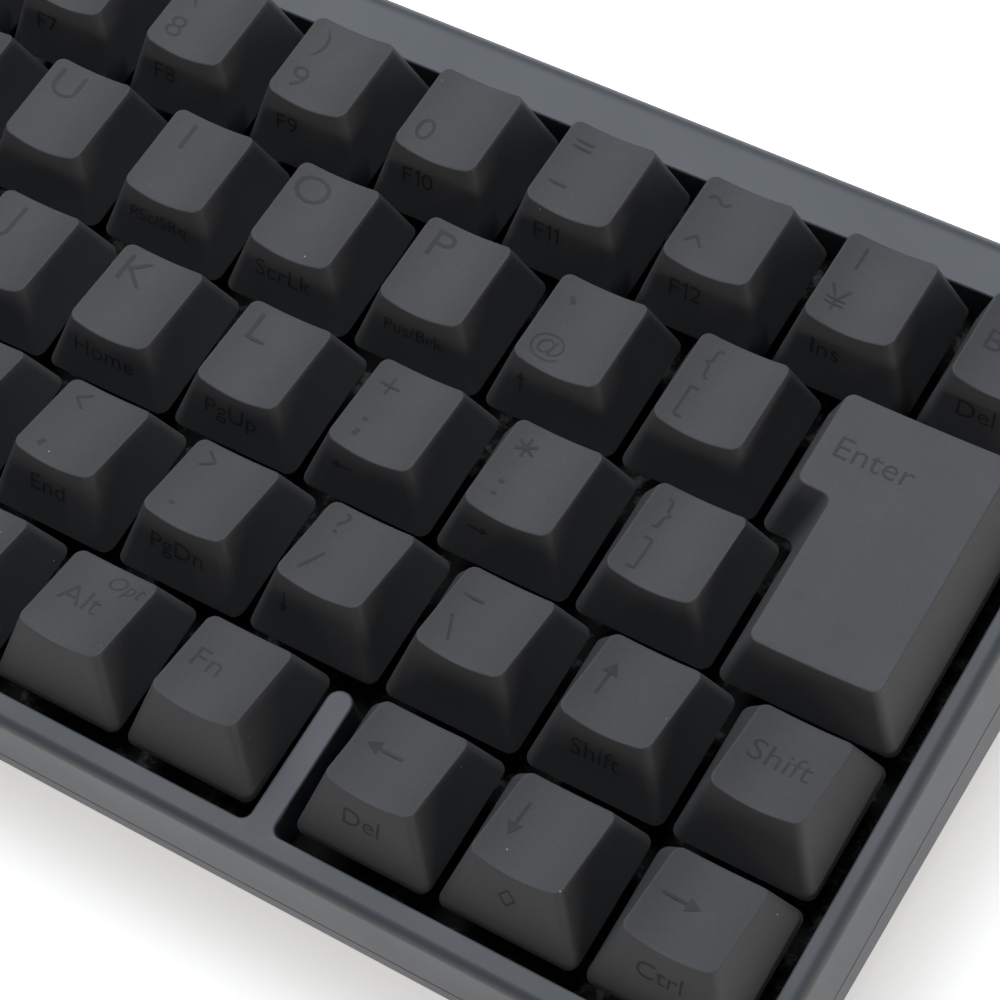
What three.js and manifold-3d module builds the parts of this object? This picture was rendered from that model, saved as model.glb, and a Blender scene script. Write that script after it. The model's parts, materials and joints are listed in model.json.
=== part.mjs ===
// Compact 69-key mechanical keyboard, millimetres, +X right, +Y back, +Z up.
// The origin is the centre of the bounding box on the desk surface.
// Everything above the seam lies in the "deck" frame: its origin is the centre of the key grid,
// its z = 0 plane is the flat top of the bezel, and it is tipped up at the back by DECK_TILT.
import * as THREE from 'three';
import { mergeVertices } from 'three/addons/utils/BufferGeometryUtils.js';
import Module from 'manifold-3d';

const wasm = await Module();
wasm.setup();

// ---- Driving dimensions -------------------------------------------------------------------
const CLEARANCE = 0.3;
const KEY_PITCH = 19.05;
const UNITS_ACROSS = 15;
const ROW_COUNT = 5;
const KEY_GAP = 0.9;
const KEY_TRAVEL = 4;
const SKIRT_BOTTOM = -1;
const SKIRT_CORNER = 0.8;
const TOP_CORNER = 1.4;
const TOP_INSET = 3.35;
const DISH_DEPTH = 0.8;
const CAP_WALL = 1.5;
const CAP_ROOF = 2.6;
const CAP_CEILING_EASE = 0.5;
const RIM_HALF = 0.4;

// Side profile of one keycap in each row, back row first. y is measured from the key's centre.
const ROW_PROFILES = [
  { frontY: -4.8, frontZ: 8.7, backY: 7.8, backZ: 8.2 },
  { frontY: -4.9, frontZ: 7.4, backY: 7.9, backZ: 6.8 },
  { frontY: -5.1, frontZ: 6.9, backY: 7.8, backZ: 5.4 },
  { frontY: -4.2, frontZ: 8.1, backY: 7.8, backZ: 5.0 },
  { frontY: -4.2, frontZ: 8.2, backY: 7.7, backZ: 5.2 },
];

const DECK_TILT = THREE.MathUtils.degToRad(3.5);
const DECK_HEIGHT = 24.2;
const CASE_HALF_WIDTH = 147;
const CASE_FRONT = -52.75;
const CASE_BACK = 57.5;
const CASE_CORNER = 4;
const CASE_WALL = 2.5;
const SEAM_Z = -11.8;
const SEAM_GAP = 0.3;
const SHOULDER = 1.5;
const REAR_SHOULDER = 3;

const WELL_HALF_WIDTH = 144.1;
const WELL_FRONT = -48.9;
const WELL_BACK = 49;
const WELL_DEPTH = 6.6;
const DECK_SKIN = 2.4;
const INNER_WALL = 2;
const REAR_STEP = 0.4;

const DIVIDER_X = 82.9;
const DIVIDER_WIDTH = 3.4;
const DIVIDER_TIP_Y = -30.1;

const PLATE_THICKNESS = 1.2;
const STEM_SIZE = 4.6;
const STEM_ROOT = 0.5;
const GUIDE_SIZE = 8;
const BOARD_TOP = -12;
const BOARD_THICKNESS = 1.6;
const BOARD_MARGIN = 1;
const GUIDE_BOTTOM = BOARD_TOP + CLEARANCE;
// A fully pressed stem stops one clearance above the board.
const STEM_BOTTOM = BOARD_TOP + CLEARANCE + KEY_TRAVEL;

const EDGE_HEIGHT = 5;
const BELLY_HEIGHT = 2;
const BELLY_INSET = 3;
const FLOOR_THICKNESS = 2.8;

const PAD_SIZE = { x: 22, y: 7 };
const PAD_RECESS = 0.9;
const PADS = {
  rubber_pad_front_left: [-118, -38],
  rubber_pad_front_right: [118, -38],
  rubber_pad_rear_left: [-78, 46],
  rubber_pad_rear_right: [78, 46],
};

const FOOT_X = 112;
const FOOT_WIDTH = 28;
const FOOT_REACH = 12;
const FOOT_THICKNESS = 3.2;
const HINGE_Y = 42;
const HINGE_Z = 4.3;
const HINGE_BARREL = 1.9;
const HINGE_PIN = 1.2;
const HINGE_PIN_LENGTH = 1.6;
const FOOT_POCKET_DEPTH = 4.6;
const FOOT_END_GAP = 0.5;
const FOOT_SIDE_GAP = 0.4;
const POCKET_WALL = 1.8;
const BARREL_SWEEP = 0.68 * Math.PI;
const NOTCH_WIDTH = 14;
const NOTCH_LENGTH = 5.4;

const SCREWS = { case_screw_left: [-92, 4], case_screw_right: [92, 4], case_screw_rear: [0, 34] };
const SCREW_HEAD_RADIUS = 3;
const SCREW_HEAD_HEIGHT = 1.8;
const SCREW_SHANK_RADIUS = 1.4;
const SCREW_SHANK_LENGTH = 4;
const SCREW_HOLE_LENGTH = 5;
const SCREW_HEAD_GAP = 0.4;
const SCREW_SINK = 0.8;
const BOSS_RADIUS = 5;
const BOSS_HEIGHT = 6;
const POSTS = [[-132, -30], [132, -30], [-132, 30], [132, 30], [-40, -30], [40, -30]];
const POST_RADIUS = 2.5;

const USB_X = -60;
const USB_Z = -17.2;
const USB_RECESS = { x: 13, y: 5, z: 7 };
const USB_FACE_WALL = 2;
const USB_BOSS = { x: 20, z: 9.6 };
const USB_SHELL = { x: 9, y: 7.4, z: 3.2 };
const USB_SHELL_WALL = 0.35;
const USB_TONGUE = { x: 6.7, y: 5, z: 0.7 };
const USB_TONGUE_SETBACK = 1;
const USB_TONGUE_ROOT = 0.5;

// How far a cutter runs past the face that it cuts, and a joined piece into its neighbour.
const OVERRUN = 1;

// ---- Materials ----------------------------------------------------------------------------
const plastic = (color, roughness) => new THREE.MeshStandardMaterial({ color, roughness, metalness: 0 });
const metal = (color, roughness) => new THREE.MeshStandardMaterial({ color, roughness, metalness: 1 });
const KEYCAP = plastic(0x3b3d40, 0.6);
const CASE = plastic(0x3c3f46, 0.45);
const PLATE = plastic(0x121212, 0.7);
const BOARD = plastic(0x1d3a2a, 0.6);
const RUBBER = plastic(0x151515, 0.9);
const STEEL = metal(0x8a8c90, 0.35);

// ---- Solid helpers ------------------------------------------------------------------------
const tan = Math.tan(DECK_TILT);
const cos = Math.cos(DECK_TILT);
const sin = Math.sin(DECK_TILT);

// Deck z of the horizontal plane at a given height over the desk, at deck position y.
const deckZ = (height, y) => (height - DECK_HEIGHT) / cos - y * tan;

const rearmost = CASE_BACK * cos - deckZ(EDGE_HEIGHT, CASE_BACK) * sin;
const foremost = CASE_FRONT * cos + SHOULDER * sin;
const DECK_TO_WORLD = new THREE.Matrix4().makeRotationX(DECK_TILT)
  .setPosition(0, -(rearmost + foremost) / 2, DECK_HEIGHT);

function toSolid(geometry) {
  const bare = new THREE.BufferGeometry();
  bare.setAttribute('position', geometry.getAttribute('position').clone());
  if (geometry.index) bare.setIndex(geometry.index.clone());
  const merged = mergeVertices(bare, 1e-4);
  const vertProperties = Float32Array.from(merged.getAttribute('position').array);
  const triVerts = Uint32Array.from(merged.index.array);
  return new wasm.Manifold(new wasm.Mesh({ numProp: 3, vertProperties, triVerts }));
}

function toGeometry(solid) {
  const mesh = solid.getMesh();
  const geometry = new THREE.BufferGeometry();
  geometry.setAttribute('position', new THREE.BufferAttribute(mesh.vertProperties, 3));
  geometry.setIndex(new THREE.BufferAttribute(mesh.triVerts, 1));
  geometry.computeVertexNormals();
  return geometry;
}

const union = (solids) => solids.reduce((sum, next) => sum.add(next));

// Triangulate a closed outline so that its faces point up.
function capFaces(ring) {
  const outline = ring.map((p) => new THREE.Vector2(p[0], p[1]));
  return THREE.ShapeUtils.triangulateShape(outline, []).map(([a, b, c]) => {
    const area = THREE.ShapeUtils.area([outline[a], outline[b], outline[c]]);
    return area > 0 ? [a, b, c] : [a, c, b];
  });
}

// A closed solid through rings of points. Each ring runs counterclockwise seen from above.
function loft(rings, topFaces = capFaces(rings[rings.length - 1])) {
  const count = rings[0].length;
  const last = (rings.length - 1) * count;
  const faces = [];
  for (let level = 0; level + 1 < rings.length; level += 1) {
    for (let i = 0; i < count; i += 1) {
      const a = level * count + i;
      const b = level * count + ((i + 1) % count);
      faces.push([a, b, b + count], [a, b + count, a + count]);
    }
  }
  for (const [a, b, c] of capFaces(rings[0])) faces.push([a, c, b]);
  for (const [a, b, c] of topFaces) faces.push([last + a, last + b, last + c]);
  const geometry = new THREE.BufferGeometry();
  geometry.setAttribute('position', new THREE.Float32BufferAttribute(rings.flat(2), 3));
  geometry.setIndex(faces.flat());
  return toSolid(geometry);
}

// An upright box between two corners.
function box(low, high) {
  const size = high.map((value, axis) => value - low[axis]);
  const geometry = new THREE.BoxGeometry(...size);
  geometry.translate(...low.map((value, axis) => value + size[axis] / 2));
  return toSolid(geometry);
}

// An upright cylinder from z = bottom to z = top.
function post(x, y, radius, bottom, top, sides = 16) {
  const geometry = new THREE.CylinderGeometry(radius, radius, top - bottom, sides);
  geometry.rotateX(Math.PI / 2);
  geometry.translate(x, y, (bottom + top) / 2);
  return toSolid(geometry);
}

// A round bar along X, centred on x.
function barAlongX(x, y, z, radius, length, sides = 12) {
  const geometry = new THREE.CylinderGeometry(radius, radius, length, sides);
  geometry.rotateZ(Math.PI / 2);
  geometry.translate(x, y, z);
  return toSolid(geometry);
}

// Points of a rectangle with round corners, counterclockwise, at a height given by zAt(y).
function roundedRing(halfWidth, front, back, radius, zAt, steps = 3) {
  const corners = [
    [halfWidth - radius, front + radius, -Math.PI / 2],
    [halfWidth - radius, back - radius, 0],
    [-halfWidth + radius, back - radius, Math.PI / 2],
    [-halfWidth + radius, front + radius, Math.PI],
  ];
  return corners.flatMap(([x, y, start]) => Array.from({ length: steps + 1 }, (_, i) => {
    const angle = start + (Math.PI / 2) * (i / steps);
    const py = y + radius * Math.sin(angle);
    return [x + radius * Math.cos(angle), py, zAt(py)];
  }));
}

// ---- Keycaps ------------------------------------------------------------------------------
const DISH_STATIONS = [-0.5, 0, 0.5];

// One outline of a rectangular keycap: front edge left to right, then back edge right to left.
function capRing(halfFront, halfBack, front, back, corner, dish) {
  const edge = (half, y, inward) => {
    const flat = half - corner;
    const xs = [-half, -flat, ...DISH_STATIONS.map((s) => s * flat), flat, half];
    return xs.map((x, i) => {
      const atSide = i === 0 || i === xs.length - 1;
      const z = y.z - dish * (1 - (x / half) ** 2);
      return [x, atSide ? y.at + inward * corner : y.at, z];
    });
  };
  return [...edge(halfFront, front, 1), ...edge(halfBack, back, -1).reverse()];
}

// Faces of a cap's top that run front to back, so that the dish stays cylindrical.
const dishStrips = (() => {
  const pairs = DISH_STATIONS.length + 4;
  const last = 2 * pairs - 1;
  return Array.from({ length: pairs - 1 }, (_, i) => [
    [i, i + 1, last - i - 1],
    [i, last - i - 1, last - i],
  ]).flat();
})();

function stem(x, top) {
  const half = STEM_SIZE / 2;
  return box([x - half, -half, STEM_BOTTOM], [x + half, half, top]);
}

function capShell(units, profile, dish) {
  const half = (units * KEY_PITCH - KEY_GAP) / 2;
  const depth = (KEY_PITCH - KEY_GAP) / 2;
  const skirt = capRing(
    half, half, { at: -depth, z: SKIRT_BOTTOM }, { at: depth, z: SKIRT_BOTTOM }, SKIRT_CORNER, 0,
  );
  const top = capRing(
    half - TOP_INSET, half - TOP_INSET,
    { at: profile.frontY, z: profile.frontZ }, { at: profile.backY, z: profile.backZ },
    TOP_CORNER, dish,
  );
  return loft([skirt, top], dishStrips);
}

const roofOf = (profile) => Math.min(profile.frontZ, profile.backZ) - CAP_ROOF;

// A hollow keycap with its stem, about its own centre.
function keycap(units, row, dish = DISH_DEPTH) {
  const profile = ROW_PROFILES[row];
  const half = (units * KEY_PITCH - KEY_GAP) / 2;
  const depth = (KEY_PITCH - KEY_GAP) / 2;
  const roof = roofOf(profile);
  const ringAt = (z, side, front, back) => [
    [-side, front, z], [side, front, z], [side, back, z], [-side, back, z],
  ];
  const mouth = ringAt(SKIRT_BOTTOM - OVERRUN, half - CAP_WALL, -depth + CAP_WALL, depth - CAP_WALL);
  const inner = ringAt(
    roof, half - TOP_INSET - CAP_WALL + CAP_CEILING_EASE, profile.frontY + CAP_WALL, profile.backY - CAP_WALL,
  );
  const hollow = loft([mouth, inner]);
  return capShell(units, profile, dish).subtract(hollow).add(stem(0, roof + STEM_ROOT));
}

// The L-shaped Enter key over rows 2 and 3, about the centre of its right-hand column.
const ENTER = {
  x: 14.375 - UNITS_ACROSS / 2,
  upperLeft: -0.875,
  lowerLeft: -0.625,
  right: 0.625,
};

function enterRing(inset, front, back, step, zAt) {
  const left = ENTER.upperLeft * KEY_PITCH + KEY_GAP / 2 + inset;
  const lower = ENTER.lowerLeft * KEY_PITCH + KEY_GAP / 2 + inset;
  const right = ENTER.right * KEY_PITCH - KEY_GAP / 2 - inset;
  const c = inset > 0 ? TOP_CORNER : SKIRT_CORNER;
  return [
    [lower + c, front], [right - c, front], [right, front + c], [right, back - c],
    [right - c, back], [left + c, back], [left, back - c], [left, step + c],
    [left + c, step], [lower - c, step], [lower, step - c], [lower, front + c],
  ].map(([x, y]) => [x, y, zAt(y)]);
}

function enterKey() {
  const [upper, lower] = [ROW_PROFILES[1], ROW_PROFILES[2]];
  const depth = (KEY_PITCH - KEY_GAP) / 2;
  const mid = KEY_PITCH / 2;
  const front = -mid + lower.frontY;
  const back = mid + upper.backY;
  const slope = (upper.backZ - lower.frontZ) / (back - front);
  const skirt = enterRing(0, -mid - depth, mid + depth, KEY_GAP / 2, () => SKIRT_BOTTOM);
  const top = enterRing(TOP_INSET, front, back, mid + upper.frontY, (y) => lower.frontZ + slope * (y - front));
  const roof = Math.min(upper.backZ, lower.frontZ) - CAP_ROOF;
  const sideWall = KEY_GAP / 2 + TOP_INSET + CAP_WALL;
  const hollow = box(
    [ENTER.lowerLeft * KEY_PITCH + sideWall, front + CAP_WALL, SKIRT_BOTTOM - OVERRUN],
    [ENTER.right * KEY_PITCH - sideWall, back - CAP_WALL, roof],
  );
  return loft([skirt, top]).subtract(hollow).add(stem(0, roof + STEM_ROOT));
}

// Neighbouring keycaps of one row joined by a thin rim under their skirts.
function keyRun(unitsList, row) {
  const profile = ROW_PROFILES[row];
  const total = unitsList.reduce((sum, units) => sum + units, 0);
  const depth = (KEY_PITCH - KEY_GAP) / 2;
  const rimHalf = (total * KEY_PITCH - KEY_GAP) / 2;
  const rim = box([-rimHalf, -depth, SKIRT_BOTTOM - RIM_HALF], [rimHalf, depth, SKIRT_BOTTOM + RIM_HALF]);
  let edge = -total / 2;
  const caps = unitsList.flatMap((units) => {
    const x = (edge + units / 2) * KEY_PITCH;
    edge += units;
    return [capShell(units, profile, DISH_DEPTH).translate([x, 0, 0]), stem(x, SKIRT_BOTTOM)];
  });
  return union([rim, ...caps]);
}

// ---- Layout -------------------------------------------------------------------------------
// Each row lists [node name, width in units], left to right. An array of widths is a joined run.
const ROWS = [
  [['key_esc', 1], ['keys_1_to_6', [1, 1, 1, 1, 1, 1]], ['key_7', 1], ['key_8', 1], ['key_9', 1],
    ['key_0', 1], ['key_minus', 1], ['key_caret', 1], ['key_yen', 1], ['key_backspace', 1]],
  [['key_tab', 1.5], ['keys_q_to_t', [1, 1, 1, 1, 1]], ['key_y', 1], ['key_u', 1], ['key_i', 1],
    ['key_o', 1], ['key_p', 1], ['key_at', 1], ['key_bracket_left', 1]],
  [['key_control', 1.75], ['keys_a_to_h', [1, 1, 1, 1, 1, 1]], ['key_j', 1], ['key_k', 1], ['key_l', 1],
    ['key_semicolon', 1], ['key_colon', 1], ['key_bracket_right', 1]],
  [['key_shift_left', 2], ['keys_z_to_n', [1, 1, 1, 1, 1, 1]], ['key_m', 1], ['key_comma', 1],
    ['key_period', 1], ['key_slash', 1], ['key_underscore', 1], ['key_up', 1], ['key_shift_right', 1]],
  [['keys_front_left', [1.25, 1, 1, 1, 1]], ['key_space', 2.5], ['key_convert', 1], ['key_kana', 1],
    ['key_alt', 1], ['key_fn', 1], ['gap', 0.25], ['key_left', 1], ['key_down', 1], ['key_right', 1]],
];

const rowY = (row) => ((ROW_COUNT - 1) / 2 - row) * KEY_PITCH;
const widthOf = (units) => (Array.isArray(units) ? units.reduce((a, b) => a + b, 0) : units);

const keys = ROWS.flatMap((entries, row) => {
  let edge = -UNITS_ACROSS / 2;
  return entries.map(([name, units]) => {
    const width = widthOf(units);
    const key = { name, units, row, x: (edge + width / 2) * KEY_PITCH, y: rowY(row) };
    edge += width;
    return key;
  }).filter((key) => key.name !== 'gap');
});

// Every switch position, for the guides in the plate.
const switchCentres = keys.flatMap(({ units, x, y }) => {
  if (!Array.isArray(units)) return [[x, y]];
  let edge = x - (widthOf(units) * KEY_PITCH) / 2;
  return units.map((unit) => {
    const centre = edge + (unit * KEY_PITCH) / 2;
    edge += unit * KEY_PITCH;
    return [centre, y];
  });
});
const enterPlace = [ENTER.x * KEY_PITCH, (rowY(1) + rowY(2)) / 2];
switchCentres.push(enterPlace);

// ---- Case ---------------------------------------------------------------------------------
function caseRing(inset, rearInset, zAt) {
  return roundedRing(CASE_HALF_WIDTH - inset, CASE_FRONT + inset, CASE_BACK - rearInset, CASE_CORNER, zAt);
}

// Radius of the rounded top edge at deck position y: it grows round the two rear corners.
function shoulderAt(y) {
  const share = THREE.MathUtils.smoothstep(y, CASE_BACK - 2 * CASE_CORNER, CASE_BACK);
  return THREE.MathUtils.lerp(SHOULDER, REAR_SHOULDER, share);
}

function upperCase() {
  const shoulder = [0, 1, 2, 3].map((step) => {
    const angle = (Math.PI / 2) * (step / 3);
    const inward = 1 - Math.cos(angle);
    return caseRing(SHOULDER * inward, REAR_SHOULDER * inward, (y) => shoulderAt(y) * (Math.sin(angle) - 1));
  });
  const outside = loft([caseRing(0, 0, () => SEAM_Z), ...shoulder]);
  const well = box(
    [-WELL_HALF_WIDTH, WELL_FRONT, -WELL_DEPTH - OVERRUN], [WELL_HALF_WIDTH, WELL_BACK, OVERRUN],
  );
  const side = CASE_HALF_WIDTH - CASE_WALL;
  const front = CASE_FRONT + CASE_WALL;
  const back = CASE_BACK - CASE_WALL;
  const belly = box([-side, front, SEAM_Z - OVERRUN], [side, back, -WELL_DEPTH]);
  const rearPocket = box(
    [-side, WELL_BACK + INNER_WALL, -WELL_DEPTH - OVERRUN], [side, back - REAR_STEP, -DECK_SKIN],
  );
  return outside.subtract(well).subtract(belly).subtract(rearPocket).add(divider());
}

// The bar that parts the arrow keys from the Fn key, with a round free end.
function divider() {
  const half = DIVIDER_WIDTH / 2;
  const shape = new THREE.Shape();
  shape.moveTo(-half, WELL_FRONT - OVERRUN);
  shape.lineTo(half, WELL_FRONT - OVERRUN);
  shape.absarc(0, DIVIDER_TIP_Y - half, half, 0, Math.PI, false);
  const bar = new THREE.ExtrudeGeometry(shape, { depth: WELL_DEPTH, bevelEnabled: false, curveSegments: 4 });
  bar.translate(DIVIDER_X, 0, -WELL_DEPTH);
  return toSolid(bar);
}

function lowerCase() {
  const rim = SEAM_Z - SEAM_GAP;
  const inset = BELLY_INSET;
  const tray = loft([
    caseRing(inset, inset, (y) => deckZ(BELLY_HEIGHT, y)),
    caseRing(0, 0, (y) => deckZ(EDGE_HEIGHT, y)),
    caseRing(0, 0, () => rim),
  ]);
  const side = CASE_HALF_WIDTH - CASE_WALL;
  const floor = (y) => deckZ(BELLY_HEIGHT + FLOOR_THICKNESS, y);
  const hollowRing = (zAt) => roundedRing(
    side, CASE_FRONT + CASE_WALL, CASE_BACK - CASE_WALL, CASE_CORNER - CASE_WALL, zAt,
  );
  const hollow = loft([hollowRing(floor), hollowRing(() => rim + OVERRUN)]);
  const posts = POSTS.map(([x, y]) => post(x, y, POST_RADIUS, floor(y) - OVERRUN, boardBottom - CLEARANCE, 8));
  const shell = union([tray.subtract(hollow), ...posts, usbBoss()]).subtract(usbCuts());
  const world = toSolid(toGeometry(shell).applyMatrix4(DECK_TO_WORLD));
  const solids = [world, ...footHousings(), ...screwBosses()];
  const cuts = [...footPockets(), ...padRecesses(), ...screwHoles()];
  return union(solids).subtract(union(cuts));
}

// ---- Switch plate and circuit board ---------------------------------------------------------
const plateTop = -WELL_DEPTH - CLEARANCE;
const boardBottom = BOARD_TOP - BOARD_THICKNESS;
const innerHalf = CASE_HALF_WIDTH - CASE_WALL - CLEARANCE;

function switchPlate() {
  const half = GUIDE_SIZE / 2;
  const bore = STEM_SIZE / 2 + CLEARANCE;
  const plate = box(
    [-innerHalf, CASE_FRONT + CASE_WALL + CLEARANCE, plateTop - PLATE_THICKNESS],
    [innerHalf, CASE_BACK - CASE_WALL - CLEARANCE, plateTop],
  );
  const guides = switchCentres.map(([x, y]) => box(
    [x - half, y - half, GUIDE_BOTTOM], [x + half, y + half, plateTop - PLATE_THICKNESS / 2],
  ));
  const bores = switchCentres.map(([x, y]) => box(
    [x - bore, y - bore, GUIDE_BOTTOM - OVERRUN], [x + bore, y + bore, plateTop + OVERRUN],
  ));
  return union([plate, ...guides]).subtract(union(bores));
}

function circuitBoard() {
  const half = innerHalf - BOARD_MARGIN;
  return box(
    [-half, CASE_FRONT + CASE_WALL + BOARD_MARGIN, boardBottom], [half, usbFace - USB_SHELL.y, BOARD_TOP],
  );
}

// ---- USB inlet ------------------------------------------------------------------------------
const usbFace = CASE_BACK - USB_RECESS.y;

function usbBlock(size, from, to) {
  return box([USB_X - size.x / 2, from, USB_Z - size.z / 2], [USB_X + size.x / 2, to, USB_Z + size.z / 2]);
}

const usbBoss = () => usbBlock(USB_BOSS, usbFace - USB_FACE_WALL, CASE_BACK - CASE_WALL / 2);

function usbCuts() {
  const slot = { x: USB_SHELL.x + 2 * CLEARANCE, z: USB_SHELL.z + 2 * CLEARANCE };
  return usbBlock(USB_RECESS, usbFace, CASE_BACK + OVERRUN)
    .add(usbBlock(slot, usbFace - USB_FACE_WALL - OVERRUN, usbFace + OVERRUN));
}

function usbPort() {
  const back = usbFace - USB_SHELL.y;
  const cavity = { x: USB_SHELL.x - 2 * USB_SHELL_WALL, z: USB_SHELL.z - 2 * USB_SHELL_WALL };
  const floor = usbFace - USB_TONGUE_SETBACK - USB_TONGUE.y;
  return usbBlock(USB_SHELL, back, usbFace)
    .subtract(usbBlock(cavity, floor, usbFace + OVERRUN))
    .add(usbBlock(USB_TONGUE, floor - USB_TONGUE_ROOT, floor + USB_TONGUE.y));
}

// ---- Pieces of the underside, in the desk frame ---------------------------------------------
const pocketTop = BELLY_HEIGHT + FOOT_POCKET_DEPTH;
const pocketFront = HINGE_Y - FOOT_REACH - FOOT_END_GAP;
const pocketBack = HINGE_Y + HINGE_BARREL + FOOT_END_GAP;
const pocketHalf = FOOT_WIDTH / 2 + FOOT_SIDE_GAP;
const footSides = [-FOOT_X, FOOT_X];

function footHousings() {
  const half = pocketHalf + HINGE_PIN_LENGTH + POCKET_WALL;
  return footSides.map((x) => box(
    [x - half, pocketFront - NOTCH_LENGTH - POCKET_WALL, BELLY_HEIGHT + OVERRUN],
    [x + half, pocketBack + POCKET_WALL, pocketTop + POCKET_WALL],
  ));
}

function footPockets() {
  return footSides.flatMap((x) => [
    box([x - pocketHalf, pocketFront, 0], [x + pocketHalf, pocketBack, pocketTop]),
    box(
      [x - NOTCH_WIDTH / 2, pocketFront - NOTCH_LENGTH, 0],
      [x + NOTCH_WIDTH / 2, pocketFront + OVERRUN, pocketTop],
    ),
    barAlongX(x, HINGE_Y, HINGE_Z, HINGE_PIN + CLEARANCE, 2 * (pocketHalf + HINGE_PIN_LENGTH)),
  ]);
}

// A tilt foot folded flat: barrel at the back, free end forward.
function tiltFoot(x) {
  const profile = new THREE.Shape();
  const half = FOOT_THICKNESS / 2;
  profile.moveTo(-FOOT_REACH, -half);
  profile.absarc(0, 0, HINGE_BARREL, -BARREL_SWEEP, BARREL_SWEEP, false);
  profile.lineTo(-FOOT_REACH, half);
  const slab = new THREE.ExtrudeGeometry(profile, { depth: FOOT_WIDTH, bevelEnabled: false, curveSegments: 8 });
  // The profile's x becomes world y, its y becomes world z, and the extrusion runs along world x.
  slab.applyMatrix4(new THREE.Matrix4().makeBasis(
    new THREE.Vector3(0, 1, 0), new THREE.Vector3(0, 0, 1), new THREE.Vector3(1, 0, 0),
  ));
  slab.translate(x - FOOT_WIDTH / 2, HINGE_Y, HINGE_Z);
  const pins = barAlongX(x, HINGE_Y, HINGE_Z, HINGE_PIN, FOOT_WIDTH + 2 * HINGE_PIN_LENGTH);
  return toSolid(slab).add(pins);
}

function padBlock([x, y], grow, bottom, top) {
  const halfX = PAD_SIZE.x / 2 + grow;
  const halfY = PAD_SIZE.y / 2 + grow;
  const ringAt = (z) => roundedRing(halfX, -halfY, halfY, halfY * 0.95, () => z)
    .map(([px, py, pz]) => [px + x, py + y, pz]);
  return loft([ringAt(bottom), ringAt(top)]);
}

const padRecesses = () => Object.values(PADS).map((at) => (
  padBlock(at, CLEARANCE, 0, BELLY_HEIGHT + PAD_RECESS)
));
const rubberPad = (at) => padBlock(at, 0, 0, BELLY_HEIGHT + PAD_RECESS - CLEARANCE);

const screwSeat = BELLY_HEIGHT + SCREW_HEAD_HEIGHT + SCREW_SINK;
const screwBosses = () => Object.values(SCREWS).map(([x, y]) => (
  post(x, y, BOSS_RADIUS, BELLY_HEIGHT + OVERRUN, screwSeat + BOSS_HEIGHT)
));
const screwHoles = () => Object.values(SCREWS).flatMap(([x, y]) => [
  post(x, y, SCREW_HEAD_RADIUS + SCREW_HEAD_GAP, 0, screwSeat),
  post(x, y, SCREW_SHANK_RADIUS + CLEARANCE, screwSeat - OVERRUN, screwSeat + SCREW_HOLE_LENGTH),
]);

function caseScrew([x, y]) {
  const seat = screwSeat - CLEARANCE;
  const profile = [
    [0, seat - SCREW_HEAD_HEIGHT], [SCREW_HEAD_RADIUS, seat - SCREW_HEAD_HEIGHT], [SCREW_HEAD_RADIUS, seat],
    [SCREW_SHANK_RADIUS, seat], [SCREW_SHANK_RADIUS, seat + SCREW_SHANK_LENGTH], [0, seat + SCREW_SHANK_LENGTH],
  ].map(([r, z]) => new THREE.Vector2(r, z));
  const geometry = new THREE.LatheGeometry(profile, 16);
  geometry.rotateX(Math.PI / 2);
  geometry.translate(x, y, 0);
  return toSolid(geometry);
}

// ---- Assembly -------------------------------------------------------------------------------
const group = new THREE.Group();
const deck = new THREE.Group();
deck.applyMatrix4(DECK_TO_WORLD);
group.add(deck);

function addMesh(parent, name, solid, material, position = [0, 0, 0]) {
  const mesh = new THREE.Mesh(toGeometry(solid), material);
  mesh.name = name;
  mesh.position.set(...position);
  parent.add(mesh);
}

addMesh(deck, 'upper_case', upperCase(), CASE);
addMesh(group, 'lower_case', lowerCase(), CASE);
addMesh(deck, 'switch_plate', switchPlate(), PLATE);
addMesh(deck, 'circuit_board', circuitBoard(), BOARD);
addMesh(deck, 'usb_port', usbPort(), STEEL);

for (const { name, units, row, x, y } of keys) {
  const dish = name === 'key_space' ? 0 : DISH_DEPTH;
  const solid = Array.isArray(units) ? keyRun(units, row) : keycap(units, row, dish);
  addMesh(deck, name, solid, KEYCAP, [x, y, 0]);
}
addMesh(deck, 'key_enter', enterKey(), KEYCAP, [...enterPlace, 0]);

addMesh(group, 'tilt_foot_left', tiltFoot(-FOOT_X), CASE);
addMesh(group, 'tilt_foot_right', tiltFoot(FOOT_X), CASE);
for (const [name, at] of Object.entries(PADS)) addMesh(group, name, rubberPad(at), RUBBER);
for (const [name, at] of Object.entries(SCREWS)) addMesh(group, name, caseScrew(at), STEEL);

export default group;
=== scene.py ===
"""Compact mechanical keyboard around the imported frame.

Lengths are in millimetres until MM turns them into metres.
"""

import json
import math

import bmesh
import bpy
from mathutils import Matrix, Vector


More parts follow.
